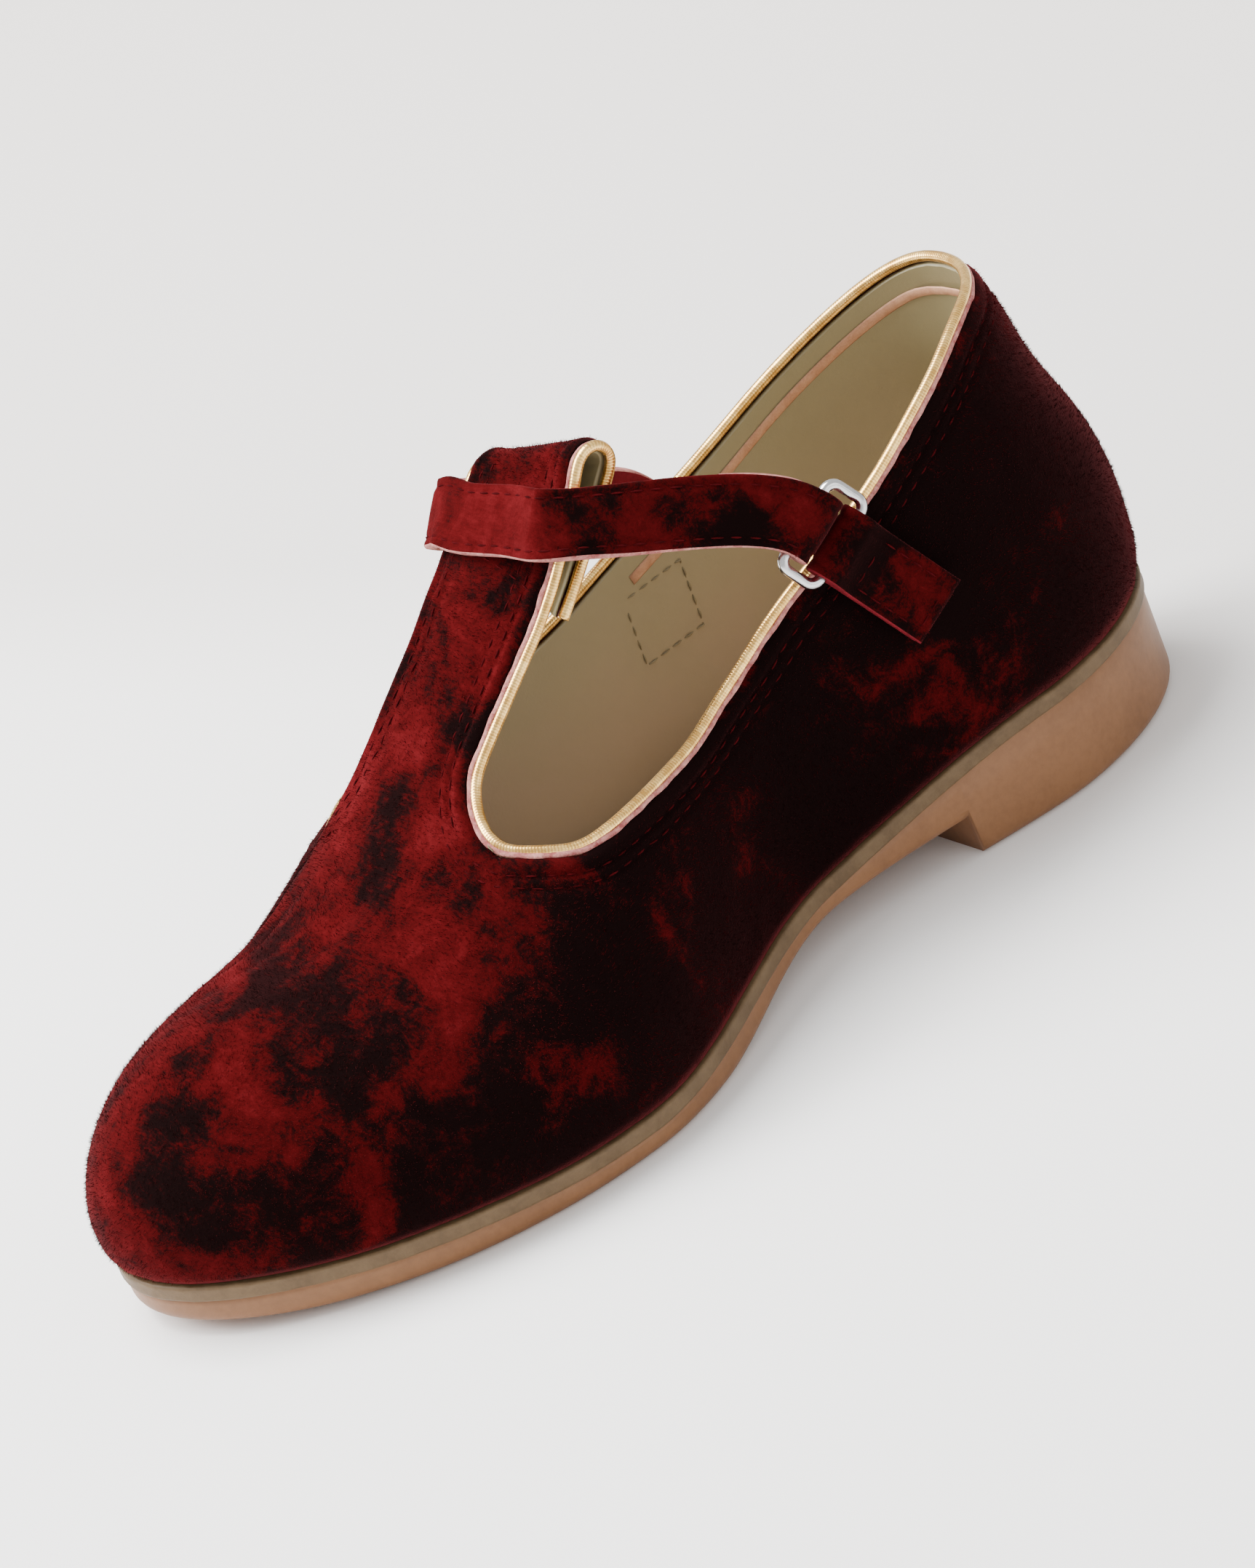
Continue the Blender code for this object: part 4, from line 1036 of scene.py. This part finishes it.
def make_upper():
    skin = UpperSkin()
    round_throats(skin, edge_path(skin))
    normals = mesh_normals(skin.points, skin.faces)
    for key, i in skin.index.items():
        if len(key) == 3 and key[2] == 0:
            normals[i, 2] = 0
    normals = unit(normals)
    path_ids = edge_path(skin)
    path = softened(skin.points[path_ids], 2)
    distance, run = edge_places(skin.points, path)
    relief = velvet_relief(skin.points, distance, run)
    outside = skin.points + relief[:, None] * normals
    velvet_inside = skin.points - VELVET_LAYER * normals
    shell("velvet_upper", skin, outside, velvet_inside, [VELVET], ["upper"])
    wrinkle = 0.10 * MM * wobble(skin.points, 0.09, 20.0)
    lining_outside = skin.points - LINING_DEPTH * normals
    lining_inside = skin.points - (WALL + wrinkle[:, None]) * normals
    shell("leather_lining", skin, lining_outside, lining_inside, [LINING])
    return skin, normals, path_ids, outside


def make_nap(skin, outside, path_ids, place):
    """The upper's pile, left out along the free edge, the sole and under the strap and the tab."""
    strap = resampled(curve_through(strap_route(place), 6)[0], 1.5 * MM)[0]
    edge = resampled(skin.points[path_ids], 0.6 * MM)[0]
    seam = np.vstack([feather_point(skin.at, side) for side in (1, -1)])
    bare = [(strap, STRAP_WIDTH / 2 + 1.6 * MM), (np.array(place.points), TAB_WIDTH / 2 + 1.2 * MM),
            (edge, 1.0 * MM), (seam, 1.4 * MM)]
    tests = [clear_of(points, distance) for points, distance in bare]

    def keep(places):
        return np.prod([test(places) for test in tests], axis=0)

    nap("velvet_nap", "upper", outside, skin.faces, keep, VELVET, 0.50 * MM)


def edge_frames(skin, normals, path_ids):
    """Points of the free edge at even steps, with the facing there and the direction out of the shell."""
    both = np.hstack([skin.points[path_ids], normals[path_ids]])
    run = length_run(both[:, :3])
    both = read_at(np.linspace(0, run[-1], int(run[-1] / EDGE_STEP)), run, both)
    points, facing = softened(both[:, :3], 5), unit(softened(both[:, 3:], 6))
    outward = unit(np.cross(unit(np.gradient(points, axis=0)), facing))
    outward *= np.sign(outward[len(outward) // 2, 2])
    return points, facing, unit(softened(outward, 2))


def make_piping(points, facing, outward, throat):
    """The gold piping along the free edge, and the velvet's raw edge beside it."""
    tucked = np.clip((np.arange(len(points)) - throat) * EDGE_STEP / TUCK_REACH + 1, 0, 1)[:, None]
    centres = points - (WALL / 2 + TUCK[0] * tucked) * facing
    centres += (CLEARANCE + PIPING_RADIUS - TUCK[1] * tucked) * outward
    run = length_run(centres)
    at = np.linspace(0, run[-1], int(run[-1] / PIPING_STEP))
    both = read_at(at, run, np.column_stack([centres, facing, outward]))
    centres, face, out = both[:, :3], unit(both[:, 3:6]), unit(both[:, 6:])
    body, faces, _ = swept(centres, out, face, circle(PIPING_RADIUS, 10))
    piece("gold_edge_piping", body, faces, [GOLD], ["edge_piping"], run=np.repeat(at, 10))
    over = RAW_OVER[0] + RAW_OVER[1] * waver(at, 700, 9, 1)
    back = RAW_BACK[0] + RAW_BACK[1] * waver(at, 300, 0, 5)
    raw = centres + over[:, None] * face - back[:, None] * out
    body, faces, _ = swept(raw, out, face, circle(RAW_RADIUS, 8, 0.6))
    piece("raw_velvet_edge", body, faces, [RAW])


def on_surface(tree, places):
    """The nearest points of a surface to some places, with the normals there."""
    found = [tree.find_nearest(Vector(p)) for p in places]
    return np.array([f[0][:] for f in found]), np.array([f[1][:] for f in found])


def make_edges(skin, normals, path_ids, outside):
    """Piping, raw edge and two stitch rows along the free edge, and a row across the T-strap."""
    points, facing, outward = edge_frames(skin, normals, path_ids)
    throat = int(np.argmin(np.linalg.norm(points - throat_place(skin, -1), axis=1)))
    make_piping(points, facing, outward, throat)
    tree = BVHTree.FromPolygons([tuple(p) for p in outside], skin.faces)
    for number, offset in enumerate(STITCH_ROWS):
        path, ups = on_surface(tree, points - offset * outward)
        ups = unit(ups) * np.sign((ups * facing).sum(1, keepdims=True))
        stitches(softened(path, 2), ups, "edge_stitches_%d" % (number + 1), THREAD)
    front = [t_front(t_root(share), share, T_SEAM) for share in np.linspace(0.06, 0.94, 30)]
    seam, _ = on_surface(tree, [point for point, _, _ in front])
    stitches(seam, np.array([face for _, _, face in front]), "t_stitches", THREAD)


# Sole


def outline_ring(at, inset):
    """The plan outline moved inwards: outer side from toe to heel, then inner side back."""
    outer = feather_point(at, 1)[:, :2]
    inner = feather_point(at, -1)[-2:0:-1, :2]
    ring = np.vstack([outer, inner])
    ahead, behind = np.roll(ring, -1, 0), np.roll(ring, 1, 0)
    tangent = unit(unit(ahead - ring) + unit(ring - behind))
    outward = np.stack([tangent[:, 1], -tangent[:, 0]], -1)
    return ring - outward * np.asarray(inset, float).reshape(-1, 1)


def around_ring(values):
    return np.concatenate([values, values[-2:0:-1]])


def sole_rows():
    toe = TOE_CAP * fan(34) ** CAP_SPACING
    heel = 1 - HEEL_CAP * fan(28) ** CAP_SPACING
    breast = HEEL_BREAST + np.array([-0.0015, 0])
    return dense(np.unique(np.round(np.concatenate([toe, [0.5, 0.6], breast, heel]), 5)), 1.6 * MM)


def ring_faces(at, levels):
    count = 2 * (len(at) - 1)
    faces, place = [], []
    for level in range(levels - 1):
        for a in range(count):
            b = (a + 1) % count
            corner = level * count
            faces.append((corner + a, corner + b, corner + count + b, corner + count + a))
            place.append(level)
    for start, mark in ((0, -1), ((levels - 1) * count, levels)):
        for row in range(len(at) - 1):
            corners = [row, row + 1, (count - row - 1) % count, (count - row) % count]
            corners = [c for i, c in enumerate(corners) if c not in corners[:i]]
            faces.append(tuple(start + c for c in corners))
            place.append(mark)
    return faces, place


def stacked(at, levels):
    """Rings of the sole's outline, one for each (inset, height)."""
    rings = []
    for inset, height in levels:
        ring = outline_ring(at, around_ring(np.broadcast_to(np.asarray(inset, float), at.shape)))
        rings.append(np.column_stack([ring, around_ring(np.broadcast_to(height, at.shape))]))
    return rings


# The lip's rounded top: how far in from the sole's edge, and how far under its top
LIP_EDGE = MM * np.array([(3.0, 0.0), (0.35, 0.0), (0.10, 0.12), (0.0, 0.45), (0.14, 1.10)])
LIP_ROUGHNESS = {1: 0.12 * MM, 2: 0.10 * MM, 3: 0.06 * MM, 5: 0.05 * MM, 6: 0.05 * MM}  # by ring


def make_sole():
    at = sole_rows()
    top = smooth(FEATHER, at) - CLEARANCE
    bottom = sole_bottom(at)
    groove = top - LIP_HEIGHT - 0.8 * LIP_STEP
    rounding = np.minimum(SOLE_ROUND, 0.8 * (groove - bottom))
    edge = -SOLE_MARGIN
    wall = edge + LIP_STEP
    levels = [(edge + further, top - drop) for further, drop in LIP_EDGE]
    levels += [(edge, top - LIP_HEIGHT + 0.3 * MM), (edge + 0.12 * MM, top - LIP_HEIGHT)]
    levels += [(wall + 0.18 * MM, top - LIP_HEIGHT - 0.12 * MM), (wall, groove)]
    for share in (0.35, 0.7):
        levels.append((wall, groove + share * (bottom + rounding - groove)))
    for turn in np.radians((0, 15, 30, 45, 60, 75, 90)):
        inset = wall + rounding * (1 - math.cos(turn))
        levels.append((inset, bottom + rounding * (1 - math.sin(turn))))
    points = stacked(at, levels)
    for k, rough in LIP_ROUGHNESS.items():
        points[k][:, 2] += rough * wobble(points[k], 0.8, k)
        points[k][:, :2] *= (1 + 0.0012 * wobble(points[k], 0.5, 3.0 + k))[:, None]
    faces, place = ring_faces(at, len(levels))
    indices = [0 if p < 7 else 1 if p < 14 else 2 for p in place]
    piece("rubber_sole", np.vstack(points), faces, [LIP, RUBBER, TREAD], ["outsole"], indices)


# The insole's rounded edge: how far in from its side, and how far under its top
INSOLE_EDGE = MM * np.array([
    (9.0, 0.55), (5.5, 0.42), (3.0, 0.20), (1.6, 0.03), (0.8, 0.00), (0.3, 0.15), (0.0, 0.60), (0.0, 1.90),
])


def make_insole():
    at = sole_rows()
    top = smooth(FEATHER, at) + INSOLE_THICKNESS
    inset = WALL + 1.5 * CLEARANCE
    points = stacked(at, [(inset + further, top - drop) for further, drop in INSOLE_EDGE])
    faces, _ = ring_faces(at, len(points))
    piece("leather_insole", np.vstack(points), faces, [SOCK], ["insole"])


# Strap, tab and ring


STRAP_ROW = 1.25 * MM  # the stitch rows' distance from the strap's edges
TAB_ROW = 1.4 * MM
ROW_SINK = 0.20 * MM  # the rows draw the velvet in by this much
FOLD_CLEAR = 2.9 * MM  # no pile this near the folds at the ring
TAB_FULLNESS = 0.2 * MM  # the dressed fold is this much fuller than the solid's
TAB_STEPS = 25


def band_shape(width, thickness, crown, row_inset):
    """A stitched band's section from its outer face round to its lining, with face kinds."""
    w, t = width / 2, thickness / 2
    x = np.linspace(w - 0.22 * MM, -w + 0.22 * MM, 25)
    rows = np.exp(-((np.abs(x) - (w - row_inset)) / (0.38 * MM)) ** 2)
    high = t - 0.18 * MM + crown * (1 - (np.abs(x) / w) ** 4) - ROW_SINK * rows
    top = np.column_stack([x, high])
    left = [(-w - 0.02 * MM, 0.5 * t), (-w, 0.0), (-w + 0.05 * MM, -0.6 * t)]
    low = np.column_stack([np.linspace(-w + 0.3 * MM, w - 0.3 * MM, 7), np.full(7, -t)])
    right = [(w - 0.05 * MM, -0.6 * t), (w, 0.0), (w + 0.02 * MM, 0.5 * t)]
    profile = np.vstack([top, left, low, right])
    kinds = [0] * 25 + [1] * 3 + [2] * 7 + [1] * 3
    kinds[24], kinds[34] = 0, 1
    return profile, kinds


def band(name, node, centres, normals, width, thickness, materials, allowed, crown=0.16 * MM,
         row_inset=STRAP_ROW):
    """A stitched velvet band along a path, replacing its solid, with the two stitch rows' grooves drawn
    into its face, and its pile.
    """
    run = length_run(centres)
    tangent = unit(np.gradient(centres, axis=0))
    sides = unit(np.cross(tangent, normals))
    outs = unit(np.cross(sides, tangent))
    profile, kinds = band_shape(width, thickness, crown, row_inset)
    points, faces, place = swept(centres, sides, outs, profile)
    size = len(profile)
    outer = np.tile(profile[:, 1] > 0.2 * thickness, len(centres))
    bump = 0.10 * MM * wobble(points, 0.35, 4.0) * outer
    points = points + bump[:, None] * np.repeat(outs, size, 0)
    indices = [kinds[p] for p in place]
    piece(name, points, faces, materials, [node], indices, np.repeat(run, size))
    outer_faces = [f for f, kind in zip(faces, indices) if kind == 0]
    nap(name + "_nap", node, points, outer_faces, allowed, VELVET_STRAP, 0.55 * MM)
    return sides, outs


def make_strap(place):
    """The strap from the inner quarter to the ring, over its bar, and back underneath."""
    centres, normals = curve_through(strap_route(place), 12)
    centres, normals = softened(centres, 14), unit(softened(normals, 14))
    front = len(centres)
    turns = np.linspace(0, math.pi, 15)[1:, None]
    out = np.cos(turns) * place.ring_normal - np.sin(turns) * place.ring_up
    tangent = unit(np.gradient(centres, axis=0))
    facing = unit(normals - (normals * tangent).sum(1, keepdims=True) * tangent)
    run = length_run(centres[::-1])
    tail = slice(1, int(np.searchsorted(run, STRAP_TAIL, side="right")))
    under = STRAP_THICKNESS + CLEARANCE
    depth = under + (2 * place.strap_fold - under) * np.maximum(0, 1 - run[tail] / STRAP_CLOSES) ** 2
    back = centres[::-1][tail] - depth[:, None] * facing[::-1][tail]
    turned = np.vstack([place.strap_bar + place.strap_fold * out, back])
    centres = np.vstack([centres, turned])
    normals = np.vstack([normals, out, -facing[::-1][tail]])
    clear = clear_of(np.vstack([place.strap_bar, place.tab_bar, turned]), FOLD_CLEAR)
    sides, outs = band("velvet_ankle_strap", "ankle_strap", centres, normals, STRAP_WIDTH,
                       STRAP_THICKNESS, [VELVET_STRAP, RAW, UNDER], clear)
    for number, across in enumerate((1, -1)):
        offset = across * (STRAP_WIDTH / 2 - STRAP_ROW)
        path = centres + offset * sides + (STRAP_THICKNESS / 2 - ROW_SINK) * outs
        stitches(path[:front], outs[:front], "strap_stitches_%d" % (number + 1), THREAD)


def make_tab(place):
    """The tab up the quarter, round the ring's lower bar and down again, stitched on all sides."""
    layer = TAB_THICKNESS + CLEARANCE
    low = CLEARANCE + TAB_THICKNESS / 2
    fold = WIRE_RADIUS + CLEARANCE + TAB_THICKNESS / 2 + TAB_FULLNESS
    at = np.linspace(0, 1, TAB_STEPS)
    spots = read_at(at, place.shares, np.array(place.points))
    faces = unit(read_at(at, place.shares, np.array(place.normals)))
    turns = np.linspace(0, math.pi, 17)[1:-1, None]
    out = np.sin(turns) * place.up - np.cos(turns) * place.normal
    under = spots[::-1] + low * faces[::-1]
    raised = (2 * fold - layer) * np.clip(1 - at / 0.4, 0, 1) ** 2
    over = spots + (low + layer + raised)[:, None] * faces
    centres = np.vstack([under, place.tab_bar + fold * out, over])
    normals = np.vstack([-faces[::-1], out, faces])
    clear = clear_of(np.vstack([under, place.tab_bar]), 1.3 * MM)
    sides, outs = band("velvet_tab", "buckle_tab", centres, normals, TAB_WIDTH, TAB_THICKNESS,
                       [VELVET_STRAP, UNDER, VELVET_STRAP], clear, 0.12 * MM, TAB_ROW)
    flat = slice(len(centres) - TAB_STEPS + 5, -2)
    up = outs[flat]
    middle = centres[flat] + (TAB_THICKNESS / 2 - 0.15 * MM) * up
    rows = [middle + across * (TAB_WIDTH / 2 - TAB_ROW) * sides[flat] for across in (1, -1)]
    facings = [up, up]
    share = np.linspace(0, 1, 12)[:, None]
    for end in (0, -1):
        rows.append(rows[0][end] * (1 - share) + rows[1][end] * share + 0.12 * MM * up[end])
        facings.append(np.repeat(up[end][None], len(share), 0))
    for number, (row, facing) in enumerate(zip(rows, facings)):
        stitches(row, facing, "tab_stitches_%d" % (number + 1), THREAD, 0.6 * MM)


def make_ring(place):
    half_long = RING_LENGTH / 2 - WIRE_RADIUS
    half_wide = RING_WIDTH / 2 - WIRE_RADIUS
    centre = (place.tab_bar + place.strap_bar) / 2
    centres, sides = [], []
    for corner in range(4):
        x = (half_wide - RING_CORNER) * (1 if corner in (0, 3) else -1)
        y = (half_long - RING_CORNER) * (1 if corner in (0, 1) else -1)
        for step in range(13):
            turn = (corner + step / 12) * math.pi / 2
            out = math.cos(turn) * place.across + math.sin(turn) * place.ring_up
            centres.append(centre + x * place.across + y * place.ring_up + RING_CORNER * out)
            sides.append(out)
    normals = np.repeat(place.ring_normal[None], len(centres), 0)
    wire = circle(WIRE_RADIUS, 20)
    points, faces, _ = swept(np.array(centres), np.array(sides), normals, wire, loop=True)
    piece("wire_ring", points, faces, [STEEL], ["buckle_ring"])


# Lining details


TAPE_DROP = 3.8 * MM  # of the collar's tape under the top edge
TAPE_RADIUS = 0.80 * MM
INSIDE_LIFT = 0.10 * MM  # tape and stitches lie this far in from the lining
PATCH_HALF = 5.2 * MM
PATCH_DROP = 12.5 * MM
PATCH_ALONG = STRAP_ALONG - 0.022


def inside_points(route):
    """Points and facings on the lining, for places given as (along, side, height)."""
    points, facings = [], []
    for along, side, height in route:
        point, normal = shell_frame(along, side, height)
        points.append(point - (WALL + INSIDE_LIFT) * normal)
        facings.append(-normal)
    return np.array(points), unit(np.array(facings))


def make_inside():
    """The tape under the collar and the stitched patch behind the strap's root."""
    rows = np.linspace(0.66, 0.995, 60)
    route = [(at, side, float(smooth(TOP_EDGE[side], at)) - TAPE_DROP)
             for side, order in ((1, 1), (-1, -1)) for at in rows[::order]]
    path, ups = inside_points(route)
    path = softened(path, 4)
    tangent = unit(np.gradient(path, axis=0))
    body, faces, _ = swept(path, unit(np.cross(tangent, ups)), ups, circle(TAPE_RADIUS, 8, 0.25))
    piece("collar_tape", body, faces, [PEACH])
    corners = np.array([(-1, 1), (1, 1), (1, -1), (-1, -1), (-1, 1)])
    shares = np.linspace(0, 1, 14)[:-1, None]
    square = PATCH_HALF * np.vstack([a + (b - a) * shares for a, b in zip(corners, corners[1:])])
    middle = float(smooth(TOP_EDGE[-1], STRAP_ALONG)) - PATCH_DROP
    patch, ups = inside_points([(PATCH_ALONG + x / LENGTH, -1, middle + y) for x, y in square])
    stitches(patch, ups, "root_patch_1", PATCH_THREAD, 0.6 * MM, 1.6 * MM, 0.16 * MM)


# Camera, floor and light

AIM = np.array((0.0, -0.06090, 0.03452))
PHOTO_SCALE = 1.55  # how much larger the shoe stands in the frame than in the photograph
PHOTO_FOCAL = 6473.6  # pixels
PHOTO_LONG = 2156
PHOTO_AIM = (588.3, 981.4)  # pixel of the aim
PHOTO_MIDDLE = (630.0, 1004.0)  # pixel of the shoe's middle
DISTANCE = 0.9329
TURN = math.radians(63.21), math.radians(27.06), math.radians(-23.03)
TIP = 0.012  # radians about X


def tipped(v):
    c, s = math.cos(TIP), math.sin(TIP)
    return np.array((v[0], v[1] * c - v[2] * s, v[2] * c + v[1] * s))


def make_camera():
    azimuth, elevation, roll = TURN
    back = np.array((math.sin(azimuth) * math.cos(elevation), -math.cos(azimuth) * math.cos(elevation),
                     math.sin(elevation)))
    right = unit(np.cross(-back, (0, 0, 1)))
    up = np.cross(right, -back)
    right, up = (right * math.cos(roll) + up * math.sin(roll), up * math.cos(roll) - right * math.sin(roll))
    back, right, up = tipped(back), tipped(right), tipped(up)
    place = AIM + DISTANCE * back
    dx = (PHOTO_MIDDLE[0] - PHOTO_AIM[0]) / PHOTO_FOCAL
    dy = (PHOTO_MIDDLE[1] - PHOTO_AIM[1]) / PHOTO_FOCAL
    ahead = unit(-back + dx * right - dy * up)
    right = unit(np.cross(ahead, up))
    up = np.cross(right, ahead)
    camera = bpy.data.cameras.new("camera")
    camera.sensor_width = 36
    camera.lens = PHOTO_FOCAL * PHOTO_SCALE / PHOTO_LONG * 36
    camera.clip_start, camera.clip_end = 0.05, 20
    item = bpy.data.objects.new("camera", camera)
    rows = np.column_stack([right, up, -ahead, place])
    item.matrix_world = Matrix([tuple(row) for row in rows] + [(0, 0, 0, 1)])
    bpy.context.collection.objects.link(item)
    bpy.context.scene.camera = item
    return back, right, up


def area_light(name, place, size, power, colour):
    light = bpy.data.lights.new(name, "AREA")
    light.size, light.energy, light.color = size, power, colour
    item = bpy.data.objects.new(name, light)
    item.location = place
    item.rotation_mode = "QUATERNION"
    item.rotation_quaternion = (Vector(AIM) - Vector(place)).to_track_quat("-Z", "Y")
    bpy.context.collection.objects.link(item)


FLOOR_TONES = [
    (0.36, (0.95, 0.945, 0.94)),
    (0.52, (0.90, 0.89, 0.88)),
    (0.60, (0.75, 0.73, 0.715)),
    (1.00, (0.77, 0.74, 0.715)),
]
FLOOR_HALF = 6.0
# Each light's distance up, to the right and back from the aim, in metres, size, power and colour
LIGHTS = {
    "key_light": ((0.80, -0.7, 0.25), 0.7, 30, (1.0, 0.985, 0.97)),
    "side_light": ((0.25, -1.0, 0.10), 0.5, 16, (1, 1, 1)),
    "front_light": ((0.20, 0.6, 1.00), 0.7, 3, (1, 1, 1)),
}


def floor_card(up):
    """Pale card, white in front of the shoe and a warm pale grey behind it."""
    look = Look("floor_card", 0.8)
    behind = look.dot(look.place(), unit(np.array((up[0], up[1], 0.0))))
    look.colour(look.maths("ADD", look.maths("MULTIPLY", behind, 2.2), 0.5), *FLOOR_TONES)
    return look.material


def make_stage():
    back, right, up = make_camera()
    mesh = bpy.data.meshes.new("floor")
    corners = [(FLOOR_HALF * x, FLOOR_HALF * y, 0) for x, y in ((-1, -1), (1, -1), (1, 1), (-1, 1))]
    mesh.from_pydata(corners, [], [(0, 1, 2, 3)])
    mesh.materials.append(floor_card(up))
    floor = bpy.data.objects.new("floor", mesh)
    bpy.context.collection.objects.link(floor)
    for name, (steps, size, power, colour) in LIGHTS.items():
        area_light(name, AIM + steps[0] * up + steps[1] * right + steps[2] * back, size, power, colour)
    world = bpy.data.worlds.new("studio")
    world.use_nodes = True
    ground = world.node_tree.nodes["Background"]
    ground.inputs["Color"].default_value = (0.96, 0.95, 0.94, 1)
    ground.inputs["Strength"].default_value = 1.1
    bpy.context.scene.world = world


def main():
    skin, normals, path_ids, outside = make_upper()
    make_edges(skin, normals, path_ids, outside)
    make_sole()
    make_insole()
    place = Fastening()
    make_nap(skin, outside, path_ids, place)
    make_ring(place)
    make_tab(place)
    make_strap(place)
    make_inside()
    make_stage()


main()
